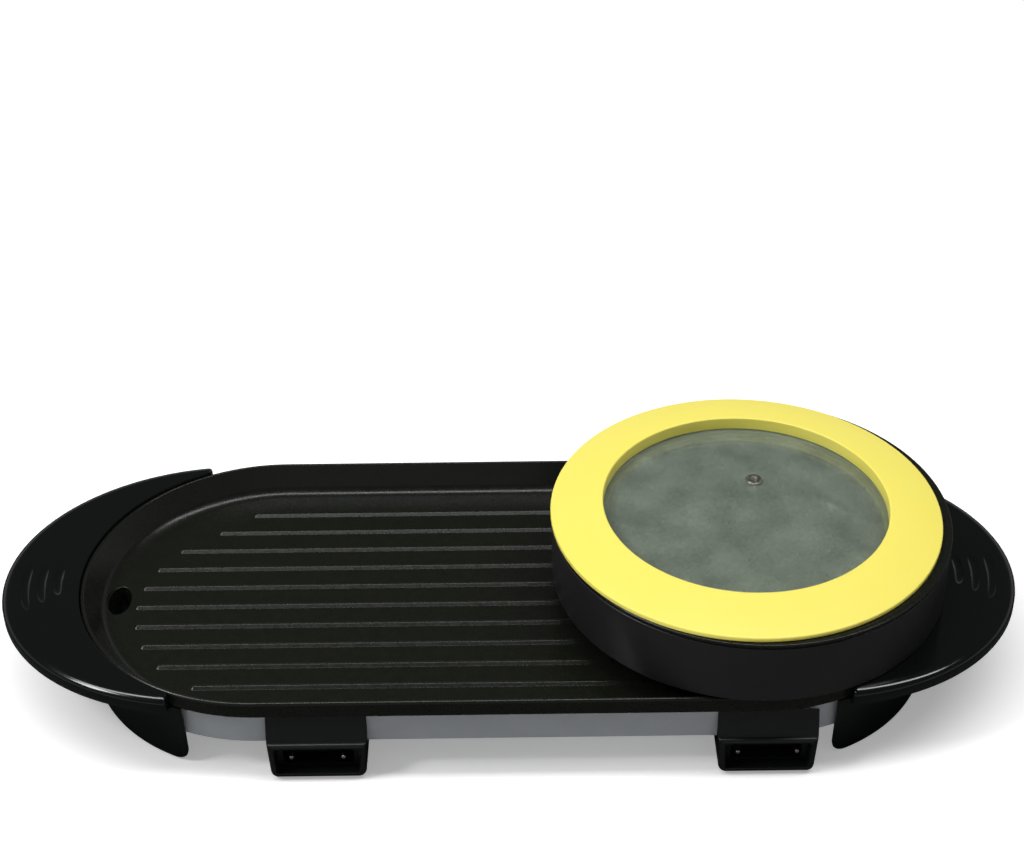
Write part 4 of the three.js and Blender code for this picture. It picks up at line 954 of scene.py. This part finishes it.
def stiffener(degrees):
    """An upright web under the crescent, from the upright to the outer wall: it ends at the first
    distance that reaches the outer ellipse drawn in by 3 mm."""
    turn = math.radians(degrees)
    away = np.array([-math.cos(turn), math.sin(turn)])
    reaches = np.arange(UPRIGHT, 180, 0.1)
    flat = (reaches[:, None] * away - (ELLIPSE_X, 0)) / (ELLIPSE_A - 3, ELLIPSE_B - 3)
    reach = reaches[np.argmax((flat**2).sum(1) >= 1)]
    web, faces = block(UPRIGHT - 0.5, reach, -0.9, 0.9, HANDLE_BOTTOM + 2.5, POCKET_TOP + 0.3)
    aside = np.array([-math.sin(turn), -math.cos(turn)])
    return np.column_stack([web[:, :1] * away + web[:, 1:2] * aside, web[:, 2]]), faces


def at_end(shape, side):
    """A shape drawn about the left round end's centre, at the left end (-1) or the right one (1)."""
    points, faces = shape
    return np.stack([side * (END - points[:, 0]), points[:, 1], points[:, 2]], -1), faces


foot_sole = filleted((0, 0, 0), (6.4, 0, 0.9), (6.4, 3, 0.2), (0, 3, 0), steps=5)
for name, side in (("left", -1), ("right", 1)):
    stand_in(f"{name}_handle", at_end(joined(crescent, leg), side), GLOSS_BLACK)
    inside = [foot_boss(x, y) for x, y in FEET] + [stiffener(degrees) for degrees in STIFFENERS]
    make(f"{name}_bosses_and_stiffeners", at_end(joined(*inside), side), GLOSS_BLACK)
    for (x, y), row in zip(FEET, ("front", "back")):
        stand_in(f"{name}_{row}_foot", at_end(turned(foot_sole, x, y, 64), side), RUBBER)

# Screws: the heads of those in the sockets are up, and the others' are down
HEAD_RADIUS, HEAD_HEIGHT, THREAD_RADIUS = 3.6, 2.2, 1.8
for node in nodes_with("screw"):
    low, high = box_of(node)
    x, y = (low[:2] + high[:2]) / 2
    length = high[2] - low[2]
    screw = filleted(
        (0, 0, 0),
        (HEAD_RADIUS, 0, 1.2),
        (HEAD_RADIUS, HEAD_HEIGHT, 0.2),
        (THREAD_RADIUS, HEAD_HEIGHT, 0),
        (THREAD_RADIUS, length, 0.4),
        (0, length, 0),
        steps=4,
    )
    screw[:, 1] = high[2] - screw[:, 1] if "socket" in node else low[2] + screw[:, 1]
    stand_in(node, turned(screw, x, y, 40), NICKEL)

# Base band: rolled sheet, 1 mm thick, with soft edges
band = oblong(BAND_RADIUS - 1, BAND_RADIUS, band_low[2], band_high[2], 0.3, 0.4, 4)
stand_in("base_band", carried(band, oval(END)), STEEL)


# Heaters: a sheathed tube from pin to pin


def pin_places(side):
    """X of both pins in a socket."""
    return [sum(box_of(f"{side}_socket_pin_{i}"))[0] / 2 for i in (1, 2)]


def riser(x):
    """The way from a pin back below the pan and up to the heater's height."""
    low, high = (x, RISER_Y, PIN, HEATER_BEND), (x, RISER_Y, HEATER, HEATER_BEND)
    return [(x, HEATER_START, PIN, 0), low, high]


def lead_out(x):
    """Where the way from a pin meets the line that touches the ring at its opening."""
    y = (math.sin(LOOP_GAP) * abs(x - POT_X) - POT_LOOP) / math.cos(LOOP_GAP)
    return [(x, y, HEATER, LOOP_BEND)]


left_pins, right_pins = pin_places("left"), pin_places("right")
left, right, half = GRILL_LOOP
loop = [(left_pins[0], -half), (left, -half), (left, half), (right, half), (right, -half)]
loop.append((left_pins[1], -half))
route = riser(left_pins[0]) + [(x, y, HEATER, LOOP_BEND) for x, y in loop] + riser(left_pins[1])[::-1]
stand_in("grill_heater", tube(bent(route), HEATER_RADIUS), SHEATH)
stations = circle(POT_X, 0, 89, -math.pi / 2 - LOOP_GAP, 2 * LOOP_GAP - 2 * math.pi, closed=False)
ring_way = [(x, y, HEATER, 0) for x, y in outline_of(stations, POT_LOOP)]
route = riser(right_pins[0]) + lead_out(right_pins[0]) + ring_way
route += lead_out(right_pins[1]) + riser(right_pins[1])[::-1]
stand_in("pot_heater", tube(bent(route), HEATER_RADIUS), SHEATH)


# Sockets: a box with a steep crown, a narrow ledge at the crown's foot and the mouth for a plug


def upright(outline, x, y):
    """An outline (across, up) stood up at a place."""
    return np.stack([x + outline[:, 0], np.full(len(outline), y), outline[:, 1]], -1)


def opening_loop(x, y, half, bottom, top, radius):
    """A rectangle with rounded corners, upright at a place along Y."""
    return upright(oblong(-half, half, bottom, top, radius, radius), x, y)


def housing_loop(x, y, front, back, bottom, top):
    """The housing's section at a place along Y. Its sides are drafted, and its crown rises from the
    ledge to the band."""
    depth = y - front
    ledge_height, ledge_depth = LEDGE
    side, edge = eased(SOCKET_ROUND, depth), eased(LEDGE_ROUND, depth)
    crown = ledge_height
    if depth > ledge_depth:
        crown += (depth - ledge_depth) / (back - front - ledge_depth) * (top - ledge_height)
    crown -= edge
    if y > back:
        crown = PLATE_UNDER - 0.3
    gain, rise = SOCKET_DRAFT
    narrow = SOCKET_HALF - side
    wide = narrow + gain * min(1, (crown - bottom) / rise)
    low = bottom + edge
    lower_round = SOCKET_ROUND - side / 2
    corners = [(-narrow, low, lower_round), (narrow, low, lower_round)]
    outline = filleted(*corners, (wide, crown, CROWN_ROUND), (-wide, crown, CROWN_ROUND))
    return upright(outline, x, y)


def socket_housing(x, low, high):
    """The housing as loops from its back to its front, into its mouth and down the well."""
    front, back = low[1], -BAND_RADIUS - 0.3
    depths = [back - front, 6, LEDGE[1] + 0.4, LEDGE[1] + 0.02, LEDGE[1]]
    depths += rounding_depths(SOCKET_ROUND, 14) + rounding_depths(LEDGE_ROUND, 12, 1.5)
    places = [high[1], back + 0.02] + [front + depth for depth in sorted(set(depths), reverse=True)]
    loops = [housing_loop(x, y, front, back, low[2], high[2]) for y in places]
    half, bottom, top, depth = MOUTH
    for turn in np.linspace(0, math.pi / 2, 5):
        grow = MOUTH_EDGE * (1 - math.sin(turn))
        sink = MOUTH_EDGE * (1 - math.cos(turn))
        grown = (half + grow, bottom - grow, top + grow, MOUTH_ROUND + grow)
        loops.append(opening_loop(x, front + sink, *grown))
    loops.append(opening_loop(x, front + depth, half, bottom, top, MOUTH_ROUND))
    loops += [opening_loop(x, y, *INNER_MOUTH, INNER_ROUND) for y in (front + depth, high[1] - WELL_WALL)]
    return grid(np.array(loops).transpose(1, 0, 2), close_rows=True, caps=True)


for name, pins in (("left", left_pins), ("right", right_pins)):
    middle = sum(pins) / 2
    housing = socket_housing(middle, *box_of(f"{name}_socket_housing"))
    stand_in(f"{name}_socket_housing", housing, BLACK_PLASTIC, sharp=30)
    for i, x in enumerate(pins, 1):
        low, high = box_of(f"{name}_socket_pin_{i}")
        radius, length = x - low[0], high[1] - low[1]
        pin = filleted((0, 0, 0), (radius, 0, 0.2), (radius, length, 1.2), (0, length, 0))
        shape = laid(turned(pin, steps=40), x, high[1], PIN)
        make(f"{name}_pin_{i}_look", shape, NICKEL, [f"{name}_socket_pin_{i}"])
    low, high = box_of(f"{name}_probe_sleeve")
    length = high[1] - low[1]
    sleeve = oblong(SLEEVE_BORE, SLEEVE_RADIUS, 0, length, 0.3, 0.3, 3)
    shape = laid(turned(sleeve, steps=40), middle, high[1], PIN)
    make(f"{name}_sleeve_look", shape, NICKEL, [f"{name}_probe_sleeve"])

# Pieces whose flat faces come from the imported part, with rounded edges
flat_pieces = [
    ("terminal_block", BLACK_PLASTIC, 0.3),
    ("heat_reflector", ALUMINIUM, 0.2),
    ("drain_spout", NONSTICK, 0.2),
    ("base_plate", STEEL, 0.2),
    ("cup_runner", STEEL, 0.2),
    ("heater_clip", STEEL, 0.15),
    ("_nut", NICKEL, 0.25),
]
for word, finish, edge in flat_pieces:
    for node in nodes_with(word):
        soften(node, finish, edge)
soften("grease_cup", STEEL, 0.3, "grease_cup")


# Studio: a pale floor, a surround brighter low down, a long lamp overhead and one at the left

FLOOR_SIZE = 6.0
corners = [(x * FLOOR_SIZE, y * FLOOR_SIZE, 0) for x, y in ((-1, -1), (1, -1), (1, 1), (-1, 1))]
floor_mesh = bpy.data.meshes.new("floor")
floor_mesh.from_pydata(corners, [], [(0, 1, 2, 3)])
floor = added("floor", floor_mesh)
# Matt white paper: pale and even. Mirrored surfaces see it darker, a dark grey painted in as shade
# in their reflections, and the camera a little brighter.
material, tree, shader, where = new_material("matt white paper", Roughness=0.9)
shader.inputs["Specular IOR Level"].default_value = 0.1
path = add_node(tree, "ShaderNodeLightPath")
mottle(tree, shader, path.outputs["Is Glossy Ray"], "#fbfbfb", "#3a3a3a")
seen = {0: path.outputs["Is Camera Ray"]}
lift = add_node(tree, "ShaderNodeMath", {"operation": "MULTIPLY", 1: 0.3}, seen).outputs[0]
glow = add_node(tree, "ShaderNodeEmission", {"Color": (1, 1, 1, 1)}, {"Strength": lift}).outputs[0]
lifted = add_node(tree, "ShaderNodeAddShader", {}, {0: shader.outputs[0], 1: glow}).outputs[0]
tree.links.new(lifted, tree.nodes["Material Output"].inputs["Surface"])
floor_mesh.materials.append(material)

world = bpy.data.worlds.new("studio")
bpy.context.scene.world = world
world.use_nodes = True
tree = world.node_tree
tree.nodes.clear()
path = add_node(tree, "ShaderNodeLightPath")
direction = add_node(tree, "ShaderNodeTexCoord").outputs["Generated"]
height = add_node(tree, "ShaderNodeSeparateXYZ", {}, {0: direction}).outputs["Z"]
# Mirrored surfaces see walls that are bright up to 14 degrees and a dark ceiling from 25 degrees.
settings = {
    "interpolation_type": "SMOOTHSTEP",
    "From Min": math.sin(math.radians(14)),
    "From Max": math.sin(math.radians(25)),
    "To Min": 0.35,
    "To Max": 0.058,
}
surround = add_node(tree, "ShaderNodeMapRange", settings, {"Value": height}).outputs[0]
rays = {0: path.outputs["Is Glossy Ray"], 1: path.outputs["Is Transmission Ray"]}
mirrored = add_node(tree, "ShaderNodeMath", {"operation": "MAXIMUM"}, rays).outputs[0]
settings = {"From Min": -0.1, "From Max": 1.0, "To Min": 0.12, "To Max": 0.26}
overhead = add_node(tree, "ShaderNodeMapRange", settings, {"Value": height}).outputs[0]
links = {0: mirrored, 2: overhead, 3: surround}
ambient = add_node(tree, "ShaderNodeMix", {"data_type": "FLOAT"}, links).outputs[0]
links = {0: path.outputs["Is Camera Ray"], 2: ambient}
strength = add_node(tree, "ShaderNodeMix", {"data_type": "FLOAT", 3: 1.0}, links).outputs[0]
background = add_node(tree, "ShaderNodeBackground", {"Color": (1, 1, 1, 1)}, {"Strength": strength})
add_node(tree, "ShaderNodeOutputWorld", {}, {"Surface": background.outputs[0]})


def soft_lamp(name, stand, width, depth, power, aim):
    """A lamp of a width and a depth that looks from its stand at its aim, in metres and watts."""
    lamp = bpy.data.lights.new(name, "AREA")
    lamp.shape = "RECTANGLE"
    lamp.size = width
    lamp.size_y = depth
    lamp.energy = power
    holder = added(name, lamp)
    holder.location = stand
    holder.rotation_euler = (Vector(stand) - Vector(aim)).to_track_quat("Z", "Y").to_euler()


soft_lamp("overhead strip softbox", (0.0, 0.0, 2.2), 3.8, 0.35, 44, (0.0, 0.0, 0.0))
soft_lamp("side softbox", (-1.9, -0.55, 2.1), 0.6, 0.7, 24, (0.0, 0.0, 0.05))

# Camera: the place, tilt and lens of the photo
CAMERA_PLACE = (0.0034, -0.9759, 0.8647)
PITCH, YAW, ROLL = (math.radians(angle) for angle in (35.031, 0.01485, -0.7131))
ahead = Vector((math.sin(YAW) * math.cos(PITCH), math.cos(YAW) * math.cos(PITCH), -math.sin(PITCH)))
level = Vector((math.cos(YAW), -math.sin(YAW), 0))
upward = level.cross(ahead)
right = math.cos(ROLL) * level + math.sin(ROLL) * upward
up = math.cos(ROLL) * upward - math.sin(ROLL) * level
lens = bpy.data.cameras.new("camera")
lens.lens = 67.452
lens.sensor_width = 36
lens.sensor_fit = "HORIZONTAL"
lens.clip_end = 20
camera = added("camera", lens)
turned_camera = Matrix((right, up, -ahead)).transposed().to_4x4()
camera.matrix_world = Matrix.Translation(CAMERA_PLACE) @ turned_camera
bpy.context.scene.camera = camera
bpy.context.scene.view_settings.view_transform = "Standard"
